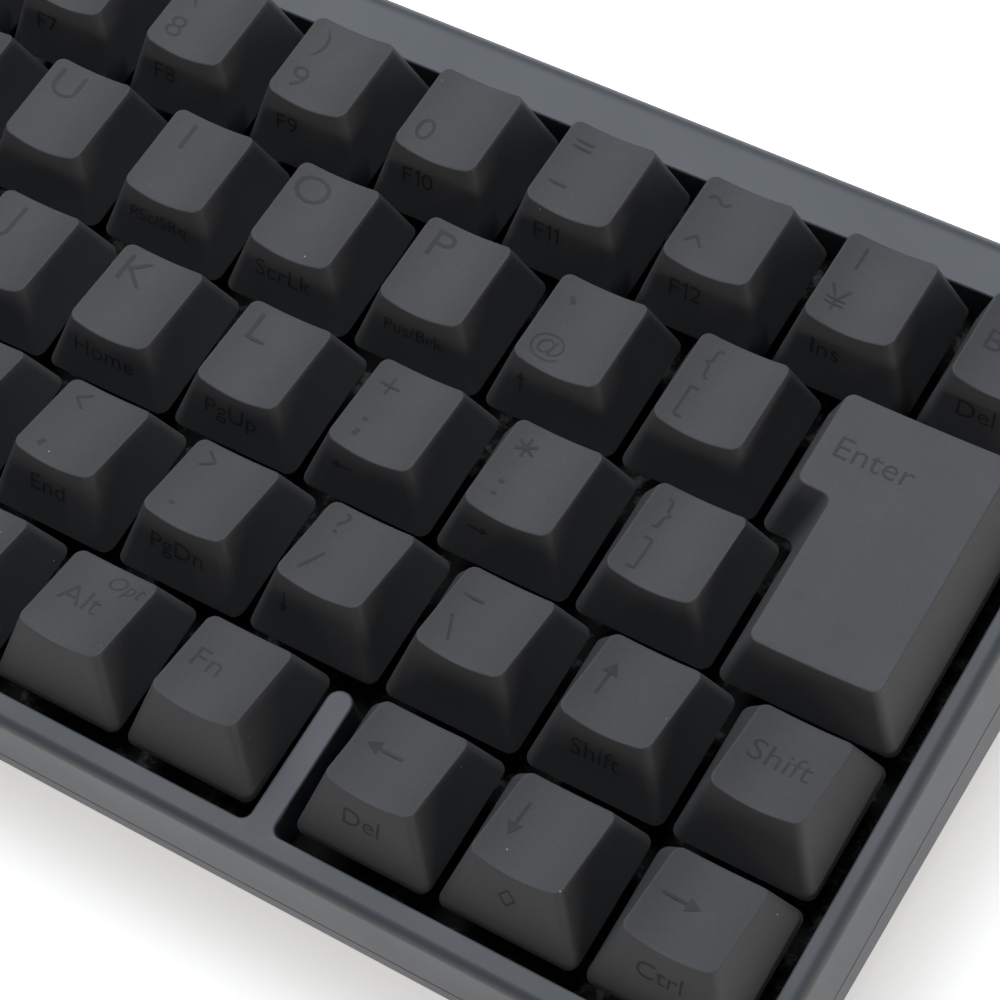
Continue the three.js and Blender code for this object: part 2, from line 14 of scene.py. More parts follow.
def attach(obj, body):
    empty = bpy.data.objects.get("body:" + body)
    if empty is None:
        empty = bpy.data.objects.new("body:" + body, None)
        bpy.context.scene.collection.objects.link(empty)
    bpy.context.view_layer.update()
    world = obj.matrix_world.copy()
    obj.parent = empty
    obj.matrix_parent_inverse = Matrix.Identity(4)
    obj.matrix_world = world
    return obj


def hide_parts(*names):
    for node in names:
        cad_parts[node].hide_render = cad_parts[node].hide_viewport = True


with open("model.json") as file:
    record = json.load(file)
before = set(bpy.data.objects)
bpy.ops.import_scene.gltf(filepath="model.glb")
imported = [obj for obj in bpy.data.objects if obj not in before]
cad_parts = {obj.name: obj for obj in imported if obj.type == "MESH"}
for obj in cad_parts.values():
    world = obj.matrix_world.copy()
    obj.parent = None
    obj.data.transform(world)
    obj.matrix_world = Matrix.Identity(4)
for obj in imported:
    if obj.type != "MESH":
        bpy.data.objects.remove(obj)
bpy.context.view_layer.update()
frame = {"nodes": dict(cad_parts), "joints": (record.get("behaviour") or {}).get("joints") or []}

MM = 0.001

# ---- Driving sizes ----
# They follow the CAD, apart from finer round edges, a narrower seam and the wall's draft.
KEY_PITCH = 19.05
KEY_GAP = 0.9
SKIRT_Z = -1.0
SKIRT_RADIUS = 1.4
TOP_RADIUS = 1.2
TOP_INSET = 3.3
TOP_FILLET = 0.16
DISH_DEPTH = 0.95
CAP_WALL = 1.4
CAP_ROOF = 2.6
STEM_RADIUS = 2.2
STEM_BOTTOM = -7.7

# Side profile of one keycap in each row, back row first: (front y, front z, back y, back z).
ROW_PROFILES = [
    (-4.8, 8.7, 7.8, 8.2),
    (-4.9, 7.4, 7.9, 6.8),
    (-5.1, 6.9, 7.8, 5.4),
    (-4.2, 8.1, 7.8, 5.0),
    (-4.2, 8.2, 7.7, 5.2),
]

CASE_FRONT = -52.75
CASE_BACK = 57.5
CASE_CORNER = 4.0
CASE_WALL = 2.5
SEAM_Z = -11.8
SEAM_GAP = 0.14
SEAM_CHAMFER = 0.12
SHOULDER = 1.4
REAR_SHOULDER = 3.0
WALL_DRAFT = 0.3
LIP_FILLET = 0.3
WELL_CORNER = 1.2
WELL_HALF_WIDTH = 144.1
WELL_FRONT = -48.9
WELL_BACK = 49.0
WELL_DEPTH = 6.6
DIVIDER_X = 82.9
DIVIDER_HALF = 1.7
DIVIDER_TIP_Y = -30.1

EDGE_HEIGHT = 5.0
BELLY_HEIGHT = 2.0
BELLY_INSET = 3.0
FLOOR_THICKNESS = 2.8

# ---- Frame of the sloping key deck, read from the CAD ----
press_axis = Vector(next(j["axis"] for j in frame["joints"] if j["type"] == "slide"))
DECK_TILT = math.atan2(-press_axis.y, press_axis.z)
UNTILT = Matrix.Rotation(-DECK_TILT, 4, "X")


def deck_points(node):
    """A CAD node's vertices along the deck's own axes, in millimetres."""
    return [UNTILT @ v.co / MM for v in frame["nodes"][node].data.vertices]


def corners_of(points):
    low = Vector(min(p[i] for p in points) for i in range(3))
    high = Vector(max(p[i] for p in points) for i in range(3))
    return low, high


case_low, case_high = corners_of(deck_points("upper_case"))
CASE_HALF_WIDTH = case_high.x
DECK_ORIGIN = Vector((0, case_low.y - CASE_FRONT, case_high.z))
DECK = (
    Matrix.Scale(MM, 4)
    @ Matrix.Rotation(DECK_TILT, 4, "X")
    @ Matrix.Translation(DECK_ORIGIN)
)
DESK = Matrix.Scale(MM, 4)
DECK_HEIGHT = DECK.translation.z / MM


def deck_z(height, y):
    """Deck z of the horizontal plane at a height over the desk, at deck position y."""
    return (height - DECK_HEIGHT) / math.cos(DECK_TILT) - y * math.tan(DECK_TILT)


def node_box(node):
    """Lowest and highest corner of a CAD node in deck coordinates."""
    low, high = corners_of(deck_points(node))
    return low - DECK_ORIGIN, high - DECK_ORIGIN


# ---- Materials ----
class Shader:
    """A small helper that wires nodes onto one Principled BSDF."""

    def __init__(self, name, colour, roughness, specular=0.5, metallic=0.0):
        self.material = bpy.data.materials.new(name)
        self.material.use_nodes = True
        self.tree = self.material.node_tree
        self.bsdf = self.tree.nodes["Principled BSDF"]
        self.colour = (*colour, 1)
        self.set_input("Base Color", self.colour)
        self.set_input("Roughness", roughness)
        self.set_input("Specular IOR Level", specular)
        self.set_input("Metallic", metallic)
        self.place = self.add("ShaderNodeTexCoord").outputs["Object"]

    def set_input(self, name, value):
        self.bsdf.inputs[name].default_value = value

    def add(self, kind, **values):
        """A new node. A value sets the node's property of that name, or else its input."""
        node = self.tree.nodes.new(kind)
        for key, value in values.items():
            if hasattr(node, key):
                setattr(node, key, value)
            else:
                node.inputs[key.replace("_", " ").title()].default_value = value
        return node

    def link(self, output, target):
        self.tree.links.new(output, target)

    def noise(self, size_mm, detail=2.0, roughness=0.5):
        """Noise whose blobs are about size_mm across."""
        scale = 1 / (size_mm * MM)
        node = self.add("ShaderNodeTexNoise", scale=scale, detail=detail, roughness=roughness)
        self.link(self.place, node.inputs["Vector"])
        return node.outputs["Fac"]

    def remap(self, value, low, high, from_low=0.3, from_high=0.7):
        ends = {"from_min": from_low, "from_max": from_high, "to_min": low, "to_max": high}
        node = self.add("ShaderNodeMapRange", **ends)
        self.link(value, node.inputs["Value"])
        return node.outputs["Result"]

    def mix(self, factor, first, second):
        """Colour between first and second, either of them a colour or a socket."""
        node = self.add("ShaderNodeMix", data_type="RGBA")
        self.link(factor, node.inputs["Factor"])
        for value, name in ((first, "A"), (second, "B")):
            socket = next(s for s in node.inputs if s.name == name and s.type == "RGBA")
            if isinstance(value, tuple):
                socket.default_value = value
            else:
                self.link(value, socket)
        return next(s for s in node.outputs if s.type == "RGBA")

    def bump(self, height, depth_mm):
        node = self.add("ShaderNodeBump", distance=depth_mm * MM, strength=1)
        self.link(height, node.inputs["Height"])
        self.link(node.outputs["Normal"], self.bsdf.inputs["Normal"])

    def tint(self, amount):
        """The base colour made lighter or darker by a share."""
        return (*[min(1, c * (1 + amount)) for c in self.colour[:3]], 1)

    def clouded(self, cloud, darker, lighter):
        """The base colour drifting between a darker and a lighter tint of it."""
        return self.mix(cloud, self.tint(-darker), self.tint(lighter))

    def paint(self, base):
        self.link(base, self.bsdf.inputs["Base Color"])

    def sheen(self, cloud, low, high):
        """Roughness that drifts between low and high."""
        self.link(self.remap(cloud, low, high), self.bsdf.inputs["Roughness"])


SPECK_CORE = 0.6
SPECK_CHOICE_EDGE = 0.01


def dust(shader, base, cell_mm, radius_share, share, colour):
    """A few pale specks: one round dot in some of the cells of a Voronoi pattern."""
    cells = shader.add("ShaderNodeTexVoronoi", scale=1 / (cell_mm * MM))
    shader.link(shader.place, cells.inputs["Vector"])
    core_share = radius_share * SPECK_CORE
    near = shader.remap(cells.outputs["Distance"], 1, 0, core_share, radius_share)
    split = shader.add("ShaderNodeSeparateColor")
    shader.link(cells.outputs["Color"], split.inputs["Color"])
    chosen = shader.remap(split.outputs["Red"], 1, 0, share, share + SPECK_CHOICE_EDGE)
    both = shader.add("ShaderNodeMath", operation="MULTIPLY")
    shader.link(near, both.inputs[0])
    shader.link(chosen, both.inputs[1])
    return shader.mix(both.outputs["Value"], base, colour)


def cap_grain(shader):
    """The fine grain that the caps and their legends share."""
    shader.bump(shader.noise(0.22, detail=3, roughness=0.6), depth_mm=0.012)


def keycap_plastic(name, colour):
    """Dry dark plastic with a fine grain, cloudy sheen, a painted highlight that lightens the front top
    edge, and a little dust.
    """
    shader = Shader(name, colour, roughness=0.58, specular=0.28)
    cloud = shader.noise(7, detail=3)
    fine = shader.noise(0.5, detail=2)
    base = shader.clouded(cloud, 0.06, 0.06)
    base = shader.mix(shader.remap(fine, 0, 0.35), base, shader.tint(0.3))
    # Painted highlight: the rim attribute lightens the front top edge of the cap.
    rim = shader.add("ShaderNodeAttribute", attribute_name="rim")
    base = shader.mix(shader.remap(rim.outputs["Fac"], 0, 0.3, 0, 1), base, shader.tint(0.5))
    speck = (0.42, 0.42, 0.4, 1)
    shader.paint(dust(shader, base, cell_mm=2.6, radius_share=0.045, share=0.14, colour=speck))
    shader.sheen(cloud, 0.55, 0.61)
    cap_grain(shader)
    return shader.material


def legend_ink(name, colour):
    """Dyed legend, darker than the cap and with the same grain."""
    shader = Shader(name, colour, roughness=0.58, specular=0.24)
    shader.paint(shader.clouded(shader.noise(1.2), 0.15, 0.25))
    cap_grain(shader)
    return shader.material


def case_plastic():
    """Satin charcoal plastic with a blue cast and a fine spark-eroded texture."""
    shader = Shader("case_satin", (0.08, 0.085, 0.096), roughness=0.44, specular=0.3)
    cloud = shader.noise(22, detail=3)
    base = shader.clouded(cloud, 0.06, 0.06)
    speck = (0.4, 0.4, 0.38, 1)
    shader.paint(dust(shader, base, cell_mm=6, radius_share=0.02, share=0.1, colour=speck))
    shader.sheen(cloud, 0.38, 0.46)
    shader.bump(shader.noise(0.35, detail=3, roughness=0.65), depth_mm=0.012)
    return shader.material


def dark_plastic():
    """Black plastic with patches of settled dust."""
    shader = Shader("plate_black", (0.012, 0.012, 0.012), roughness=0.9, specular=0.2)
    base = shader.clouded(shader.noise(5, detail=3), 0.3, 0.5)
    patches = shader.remap(shader.noise(2.6, detail=5, roughness=0.65), 0, 1, 0.52, 0.66)
    base = shader.mix(patches, base, (0.11, 0.108, 0.1, 1))
    speck = (0.5, 0.48, 0.44, 1)
    shader.paint(dust(shader, base, cell_mm=5, radius_share=0.03, share=0.2, colour=speck))
    shader.bump(shader.noise(0.4, detail=2), depth_mm=0.01)
    return shader.material


def board_mask():
    shader = Shader("board_mask", (0.012, 0.06, 0.03), roughness=0.35)
    shader.paint(shader.clouded(shader.noise(4, detail=4), 0.2, 0.3))
    return shader.material


def soft_rubber():
    shader = Shader("pad_rubber", (0.02, 0.02, 0.021), roughness=0.82)
    shader.paint(shader.clouded(shader.noise(1.5, detail=4), 0.25, 0.6))
    shader.bump(shader.noise(0.3, detail=2), depth_mm=0.02)
    return shader.material


def plated_steel():
    shader = Shader("plated_steel", (0.48, 0.48, 0.47), roughness=0.3, metallic=1.0)
    shader.sheen(shader.noise(0.8, detail=4), 0.22, 0.42)
    shader.bump(shader.noise(0.15, detail=2), depth_mm=0.004)
    return shader.material


KEYCAP = keycap_plastic("keycap_pbt", (0.0625, 0.0625, 0.065))
# The Enter cap gets a lighter copy of the cap plastic: painted light standing in for the brighter light
# on its flatter top.
ENTER_CAP_PAINTED_LIGHT = keycap_plastic("keycap_enter", (0.074, 0.074, 0.077))
# The inks follow the plastic among a cap's materials, as numbers 1 and 2.
TOP_INK, FRONT_INK = 1, 2
INKS = [
    legend_ink("legend_top", (0.04, 0.04, 0.041)),
    legend_ink("legend_front", (0.027, 0.027, 0.0275)),
]
CASE = case_plastic()
PLATE = dark_plastic()
BOARD = board_mask()
RUBBER = soft_rubber()
STEEL = plated_steel()


# ---- Mesh helpers ----
SHARP_ANGLE = math.radians(38)


def rounded_outline(corners, radii, arc_steps=7, edge_steps=8):
    """Points round a right-angled polygon with round corners, counterclockwise seen from above."""
    count = len(corners)
    arcs = []
    for i, (corner, radius) in enumerate(zip(corners, radii)):
        here = Vector(corner)
        into = (here - Vector(corners[i - 1])).normalized()
        out = (Vector(corners[(i + 1) % count]) - here).normalized()
        centre = here - into * radius + out * radius
        angles = [math.pi / 2 * k / arc_steps for k in range(arc_steps + 1)]
        arcs.append([centre - out * radius * math.cos(a) + into * radius * math.sin(a) for a in angles])
    points = []
    for i, arc in enumerate(arcs):
        points += arc
        start, end = arc[-1], arcs[(i + 1) % count][0]
        points += [start.lerp(end, k / edge_steps) for k in range(1, edge_steps)]
    return points


def circle(radius, steps=32):
    angles = [2 * math.pi * k / steps for k in range(steps)]
    return [(radius * math.cos(a), radius * math.sin(a)) for a in angles]


def quarter_round(steps, radius=1):
    """The radius times (1 - cos, 1 - sin) at each step of a quarter turn."""
    angles = [math.pi / 2 * k / steps for k in range(steps + 1)]
    return [(radius * (1 - math.cos(a)), radius * (1 - math.sin(a))) for a in angles]


def bent(start, corner, end, t):
    """A point on the curve that leaves start toward corner and turns to end."""
    return start * (1 - t) ** 2 + corner * 2 * t * (1 - t) + end * t * t


class Builder:
    """Collects rings, faces and legends of one closed piece in a bmesh."""

    def __init__(self):
        self.bm = bmesh.new()
        self.rim = self.bm.verts.layers.float.new("rim")

    def ring(self, points, rim=0.0, highlight_end=0.0):
        """A ring of vertices. Those in front of the end y get the rim value, the strength of a painted
        highlight.
        """
        verts = [self.bm.verts.new(p) for p in points]
        for vert in verts:
            vert[self.rim] = rim if vert.co.y < highlight_end else 0.0
        return verts

    def level_ring(self, outline, z):
        return self.ring([(x, y, z) for x, y in outline])

    def bridge(self, first, second):
        """Faces from one ring to the next. Rings that run counterclockwise and rise face outward."""
        count = len(first)
        for i in range(count):
            j = (i + 1) % count
            self.bm.faces.new((first[i], first[j], second[j], second[i]))

    def skin(self, rings):
        for first, second in zip(rings, rings[1:]):
            self.bridge(first, second)

    def fan(self, ring, centre, up):
        middle = self.bm.verts.new(centre)
        for i, vert in enumerate(ring):
            after = ring[(i + 1) % len(ring)]
            self.bm.faces.new((vert, after, middle) if up else (after, vert, middle))

    def fill(self, *rings):
        """A flat face between an outer ring and the holes in it."""
        edges = []
        for ring in rings:
            for i, vert in enumerate(ring):
                after = ring[(i + 1) % len(ring)]
                edges.append(self.bm.edges.get((vert, after)) or self.bm.edges.new((vert, after)))
        bmesh.ops.triangle_fill(self.bm, use_beauty=True, edges=edges)

    def flat_faces(self, points, faces, material):
        verts = [self.bm.verts.new(p) for p in points]
        for face in faces:
            made = self.bm.faces.new([verts[i] for i in face])
            made.material_index = material

    def finish(self, name, matrix, materials, recalculate=True):
        if recalculate:
            bmesh.ops.recalc_face_normals(self.bm, faces=self.bm.faces[:])
        mesh = bpy.data.meshes.new(name)
        self.bm.to_mesh(mesh)
        self.bm.free()
        mesh.transform(matrix)
        return new_object(name, mesh, materials)


def smooth(mesh):
    for polygon in mesh.polygons:
        polygon.use_smooth = True
    mesh.set_sharp_from_angle(angle=SHARP_ANGLE)


def new_object(name, mesh, materials):
    for material in materials:
        mesh.materials.append(material)
    smooth(mesh)
    obj = bpy.data.objects.new(name, mesh)
    bpy.context.scene.collection.objects.link(obj)
    return obj


def reshape(obj, kind, **settings):
    """Run one modifier on an object and keep its result as the mesh."""
    modifier = obj.modifiers.new(kind, kind)
    for name, value in settings.items():
        setattr(modifier, name, value)
    graph = bpy.context.evaluated_depsgraph_get()
    before = obj.data
    mesh = bpy.data.meshes.new_from_object(obj.evaluated_get(graph), depsgraph=graph)
    obj.modifiers.clear()
    obj.data = mesh
    bpy.data.meshes.remove(before)
    return obj


def combine(obj, operation, tools):
    """Join the tools to an object, or cut them from it."""
    for tool in tools:
        reshape(obj, "BOOLEAN", operation=operation, solver="EXACT", object=tool)
        bpy.data.objects.remove(tool)


def shade(obj):
    """Smooth faces with flat areas kept flat, and hard edges kept sharp."""
    smooth(obj.data)
    return reshape(obj, "WEIGHTED_NORMAL", keep_sharp=True)


def settle(obj, body, node):
    """Ride on a body and stand for a CAD node, which is hidden."""
    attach(obj, body)
    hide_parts(node)


# ---- Legends ----
LEGEND_LIFT = 0.025
CAP_HEIGHT_SHARE = 0.7
STROKE_SHARE = 0.11
TICK_SHARE = 0.2
TEXT_STRETCH = 1.12
TEXT_GAP = 0.16
TEXT_THINNING = 0.008
TEXT_CURVE_STEPS = 3
ARROW_SCALE = 1.25
ARROW_HEAD = 0.36
ARROW_SPREAD = 0.56
ARROW_SHAFT = 0.043
DIAMOND_LINE = 0.14
DIAMOND_STRETCH = 1.15

# Symbols drawn as strokes, each a polyline in a box one unit high about the origin.
SYMBOLS = {
    "+": [[(-0.4, 0), (0.4, 0)], [(0, -0.4), (0, 0.4)]],
    "-": [[(-0.35, 0), (0.35, 0)]],
    "=": [[(-0.38, 0.14), (0.38, 0.14)], [(-0.38, -0.14), (0.38, -0.14)]],
    "_": [[(-0.4, -0.45), (0.4, -0.45)]],
    "|": [[(0, -0.5), (0, 0.5)]],
    "^": [[(-0.32, -0.18), (0, 0.2), (0.32, -0.18)]],
    "~": [[(-0.42, -0.08), (-0.28, 0.1), (-0.1, 0.08), (0.1, -0.08), (0.28, -0.1), (0.42, 0.08)]],
    "*": [[(0, -0.42), (0, 0.42)], [(-0.36, -0.21), (0.36, 0.21)], [(-0.36, 0.21), (0.36, -0.21)]],
    "<": [[(0.23, 0.36), (-0.23, 0), (0.23, -0.36)]],
    "/": [[(-0.22, -0.5), (0.22, 0.5)]],
    "[": [[(0.18, 0.64), (-0.14, 0.64), (-0.14, -0.64), (0.18, -0.64)]],
    "1": [[(-0.2, 0.26), (0.02, 0.5), (0.02, -0.5)]],
    "`": [[(-0.1, 0.16), (0.06, -0.12)]],
    "'": [[(0, 0.16), (0, -0.12)]],
    ":": [[(0, 0.34), (0, 0.2)], [(0, -0.34), (0, -0.2)]],
    ";": [[(0, 0.34), (0, 0.2)], [(0.03, -0.2), (0.03, -0.36), (-0.06, -0.5)]],
    ".": [[(0, -0.42), (0, -0.28)]],
    ",": [[(0.03, -0.28), (0.03, -0.44), (-0.06, -0.58)]],
}
for symbol, mirrored in ("<>", "/\\", "[]"):
    SYMBOLS[mirrored] = [[(-x, y) for x, y in line] for line in SYMBOLS[symbol]]
TICKS = "`'.,:;"


def stroke_shape(text, size):
    """A symbol in thin strokes: one quad for each stretch of its polylines."""
    lines = SYMBOLS[text]
    half = size * (TICK_SHARE if text in TICKS else STROKE_SHARE) / 2
    points, faces = [], []
    for line in lines:
        for start, end in zip(line, line[1:]):
            a, b = Vector(start) * size, Vector(end) * size
            side = (b - a).normalized().orthogonal() * half
            first = len(points)
            points += [a - side, b - side, b + side, a + side]
            faces.append((first + 3, first + 2, first + 1, first))
    return points, faces


def text_shape(text, size, slant=0.0):
    """Points and faces of a text, in millimetres, centred, with capitals about size high."""
    curve = bpy.data.curves.new("legend", "FONT")
    curve.body = text
    curve.size = size / CAP_HEIGHT_SHARE
    curve.resolution_u = TEXT_CURVE_STEPS
    curve.shear = slant
    curve.offset = -TEXT_THINNING * size
    holder = bpy.data.objects.new("legend", curve)
    bpy.context.scene.collection.objects.link(holder)
    graph = bpy.context.evaluated_depsgraph_get()
    mesh = bpy.data.meshes.new_from_object(holder.evaluated_get(graph), depsgraph=graph)
    points = [Vector(v.co[:2]) for v in mesh.vertices]
    faces = [tuple(p.vertices) for p in mesh.polygons]
    bpy.data.objects.remove(holder)
    bpy.data.curves.remove(curve)
    bpy.data.meshes.remove(mesh)
    middle = sum((min(p.x for p in points), max(p.x for p in points))) / 2
    return [Vector(((p.x - middle) * TEXT_STRETCH, p.y - size / 2)) for p in points], faces


def numbered_shape(text, size):
    """Text with a flagged 1, set one character after another and centred."""
    points, faces, reach = [], [], 0.0
    for character in text:
        shape, shape_faces = glyph(character, size)
        start = min(p.x for p in shape)
        faces += [tuple(i + len(points) for i in face) for face in shape_faces]
        points += [Vector((p.x - start + reach, p.y)) for p in shape]
        reach = max(p.x for p in points) + TEXT_GAP * size
    middle = (reach - TEXT_GAP * size) / 2
    return [Vector((p.x - middle, p.y)) for p in points], faces


def arrow_shape(turn, size):
    """A thin shaft with a solid head, turned so many degrees from pointing right."""
    half, head, shaft = size / 2, size * ARROW_HEAD, size * ARROW_SHAFT
    neck, spread = half - head, head * ARROW_SPREAD
    points = [(-half, -shaft), (neck, -shaft), (neck, shaft), (-half, shaft),
              (neck, -spread), (half, 0), (neck, spread)]
    rotation = Matrix.Rotation(math.radians(turn), 2)
    return [rotation @ Vector(p) for p in points], [(0, 1, 2, 3), (4, 5, 6)]


def diamond_shape(size):
    """The outline of a small diamond."""
    outer, inner = size / 2, size / 2 - size * DIAMOND_LINE
    points = [Vector((x, y * DIAMOND_STRETCH)) for r in (outer, inner) for x, y in circle(r, 4)]
    return points, [(i, (i + 1) % 4, 4 + (i + 1) % 4, 4 + i) for i in range(4)]


ARROWS = {"->": 0, "^|": 90, "<-": 180, "v|": 270}


def glyph(text, size, slant=0.0):
    if text in ARROWS:
        return arrow_shape(ARROWS[text], size * ARROW_SCALE)
    if text == "<>":
        return diamond_shape(size)
    if text in SYMBOLS:
        return stroke_shape(text, size)
    if "1" in text:
        return numbered_shape(text, size)
    return text_shape(text, size, slant)


def glyph_at(x, from_left, *legend):
    """A glyph moved to x, which is its left end or its middle."""
    points, faces = glyph(*legend)
    if from_left:
        x -= min(p.x for p in points)
    return [(p.x + x, p.y) for p in points], faces


# ---- Keycaps ----
SKIRT_CHAMFER = 0.2
WALL_RING_SHARES = (0.03, 0.35, 0.7)
# Rings of the round top edge: how far along it, and how strongly the painted highlight lightens them.
EDGE_RINGS = ((0.25, 0.5), (0.5, 1.0), (0.75, 0.5))
TOP_RING_SHARES = (0.96, 0.89, 0.8, 0.7, 0.6, 0.5, 0.4, 0.3, 0.2, 0.1)
CREST_PASSES = 4
# How far behind the front top edge the painted highlight reaches.
RIM_HIGHLIGHT_REACH = 1.2
LEAST_RADIUS = 0.15
CEILING_INSET = CAP_WALL - 0.6
STEM_OVERLAP = 0.4
STEM_STEPS = 20
FRONT_LEGEND_LIFT = LEGEND_LIFT * 1.5


class Cap:
    """One sculpted keycap about its own centre, in deck coordinates."""

    def __init__(self, skirt, top, inward, profile, dish=DISH_DEPTH, crown=0.0, heart=None):
        self.skirt, self.top, self.inward = skirt, top, inward
        self.front_y = min(y for _, y in top)
        self.back_y = max(y for _, y in top)
        self.front_z, self.back_z = profile
        self.dish, self.crown = dish, crown
        self.centre_x = sum(x for x, _ in top) / len(top)
        self.half_width = (max(x for x, _ in top) - min(x for x, _ in top)) / 2
        # A point that every point of the outline can see, for the rings of the top.
        self.heart = Vector(heart or (self.centre_x, (self.front_y + self.back_y) / 2))

    def along(self, y):
        return (y - self.front_y) / (self.back_y - self.front_y)

    def top_z(self, x, y):
        along = self.along(y)
        across = (x - self.centre_x) / self.half_width
        plane = self.front_z + (self.back_z - self.front_z) * along
        return plane - self.dish * (1 - across * across) + self.crown * 4 * along * (1 - along)

    def outline(self, corners, inset, radius):
        moved = [(x + sx * inset, y + sy * inset) for (x, y), (sx, sy) in zip(corners, self.inward)]
        return rounded_outline(moved, [max(LEAST_RADIUS, radius - inset)] * len(corners))

    def on_top(self, point):
        return Vector((point.x, point.y, self.top_z(point.x, point.y)))

    def crest_on(self, foot, edge):
        """Where the wall that rises from foot to edge meets the dished top."""
        height = self.front_z + (self.back_z - self.front_z) * self.along(edge.y)
        high = Vector((edge.x, edge.y, height))
        point = high
        for _ in range(CREST_PASSES):
            point = high.lerp(foot, (high.z - self.top_z(point.x, point.y)) / (high.z - foot.z))
        return self.on_top(point)

    def build(self, builder):
        skirt = self.outline(self.skirt, 0, SKIRT_RADIUS)
        edge = self.outline(self.top, 0, TOP_RADIUS)
        shelf = self.outline(self.top, TOP_FILLET, TOP_RADIUS)
        low = [Vector((p.x, p.y, SKIRT_Z)) for p in skirt]
        crest = [self.crest_on(foot, point) for foot, point in zip(low, edge)]
        flat = [self.on_top(c.xy + inner - outer) for c, inner, outer in zip(crest, shelf, edge)]

        # The outer wall, with its bottom edge broken by a small chamfer.
        bottom = self.outline(self.skirt, SKIRT_CHAMFER, SKIRT_RADIUS)
        rings = [builder.level_ring(bottom, SKIRT_Z)]
        for share in WALL_RING_SHARES:
            rings.append(builder.ring([a.lerp(b, share) for a, b in zip(low, crest)]))
        wall_top = [a.lerp(b, 1 - TOP_FILLET / (b.z - a.z)) for a, b in zip(low, crest)]
        rings.append(builder.ring(wall_top))
        for share, rim in EDGE_RINGS:
            points = [bent(a, b, c, share) for a, b, c in zip(wall_top, crest, flat)]
            rings.append(builder.ring(points, rim, self.front_y + RIM_HIGHLIGHT_REACH))
        rings.append(builder.ring(flat))
        for share in TOP_RING_SHARES:
            points = [self.heart.lerp(p.xy, share) for p in flat]
            rings.append(builder.ring([(p.x, p.y, self.top_z(p.x, p.y)) for p in points]))
        builder.skin(rings)
        builder.fan(rings[-1], self.on_top(self.heart), True)
        self.build_inside(builder, rings[0])

    def build_inside(self, builder, bottom):
        """The hollow under the cap and the stem in it."""
        roof = min(self.front_z, self.back_z) - CAP_ROOF
        mouth = self.outline(self.skirt, CAP_WALL, SKIRT_RADIUS)
        ceiling = self.outline(self.top, CEILING_INSET, TOP_RADIUS)
        upper = builder.level_ring(ceiling, roof)
        builder.skin([upper, builder.level_ring(mouth, SKIRT_Z), bottom])
        builder.fan(upper, (*self.heart, roof), False)
        stem = circle(STEM_RADIUS, STEM_STEPS)
        stem_top = roof + STEM_OVERLAP
        foot = builder.level_ring(stem, STEM_BOTTOM)
        head = builder.level_ring(stem, stem_top)
        builder.bridge(foot, head)
        builder.fan(foot, (0, 0, STEM_BOTTOM), False)
        builder.fan(head, (0, 0, stem_top), True)

    def mark_top(self, builder, text, size, x, y, slant, from_left):
        points, faces = glyph_at(x, from_left, text, size, slant)
        placed = [(px, y + py, self.top_z(px, y + py) + LEGEND_LIFT) for px, py in points]
        builder.flat_faces(placed, faces, TOP_INK)

    def mark_front(self, builder, text, size, x, from_left):
        """A legend on the front wall, at a share of the height from the skirt to the top edge."""
        points, faces = glyph_at(x, from_left, text, size)
        skirt_y = min(y for _, y in self.skirt)
        rise, run = self.front_z - SKIRT_Z, self.front_y - skirt_y
        placed = []
        for px, py in points:
            share = FRONT_SHARE + py / math.hypot(rise, run)
            y = skirt_y + run * share - FRONT_LEGEND_LIFT
            placed.append((px, y, SKIRT_Z + rise * share))
        builder.flat_faces(placed, faces, FRONT_INK)


RECTANGLE_INWARD = [(1, 1), (-1, 1), (-1, -1), (1, -1)]
WIDE_UNITS = 2.25
WIDE_CROWN = 0.7


def rectangle(left, right, front, back):
    return [(left, front), (right, front), (right, back), (left, back)]


def straight_cap(units, row):
    front_y, front_z, back_y, back_z = ROW_PROFILES[row]
    half = (units * KEY_PITCH - KEY_GAP) / 2
    depth = (KEY_PITCH - KEY_GAP) / 2
    skirt = rectangle(-half, half, -depth, depth)
    top = rectangle(-half + TOP_INSET, half - TOP_INSET, front_y, back_y)
    dish, crown = (0.0, WIDE_CROWN) if units >= WIDE_UNITS else (DISH_DEPTH, 0.0)
    return Cap(skirt, top, RECTANGLE_INWARD, (front_z, back_z), dish, crown)


ENTER_FRONT_REACH = 0.6
ENTER_DISH = 0.35
# Units from the middle of the lower column to its own sides and to the upper part's left side.
ENTER_HALF = 0.625
ENTER_LEFT = 0.875


def enter_cap():
    """The L-shaped key over two rows, about the centre of its lower column."""
    _, _, back_y, back_z = ROW_PROFILES[1]
    front_y, front_z, _, _ = ROW_PROFILES[2]
    step_y = ROW_PROFILES[1][0]
    front_y -= ENTER_FRONT_REACH
    mid = KEY_PITCH / 2
    reach = mid + (KEY_PITCH - KEY_GAP) / 2
    left = -ENTER_LEFT * KEY_PITCH + KEY_GAP / 2
    lower = -ENTER_HALF * KEY_PITCH + KEY_GAP / 2
    right = ENTER_HALF * KEY_PITCH - KEY_GAP / 2

    def corners(inset, front, back, step):
        return [(lower + inset, front), (right - inset, front), (right - inset, back),
                (left + inset, back), (left + inset, step), (lower + inset, step)]

    inward = [(1, 1), (-1, 1), (-1, -1), (1, -1), (1, 1), (1, 1)]
    skirt = corners(0, -reach, reach, KEY_GAP / 2)
    top = corners(TOP_INSET, -mid + front_y, mid + back_y, mid + step_y)
    heart = ((lower + right) / 2, mid + (step_y + back_y) / 2)
    return Cap(skirt, top, inward, (front_z, back_z), ENTER_DISH, heart=heart)


# Legends of each cap, left to right. A top legend is (text, place), a front legend is text alone.
def single(text, place, front=""):
    return {"top": [(text, place)], "front": front}


def pair(upper, lower, front=""):
    return {"top": [(upper, "upper"), (lower, "lower")], "front": front}


def letter(text, front=""):
    return single(text, "letter", front)


def word(text, front=""):
    return single(text, "word", front)


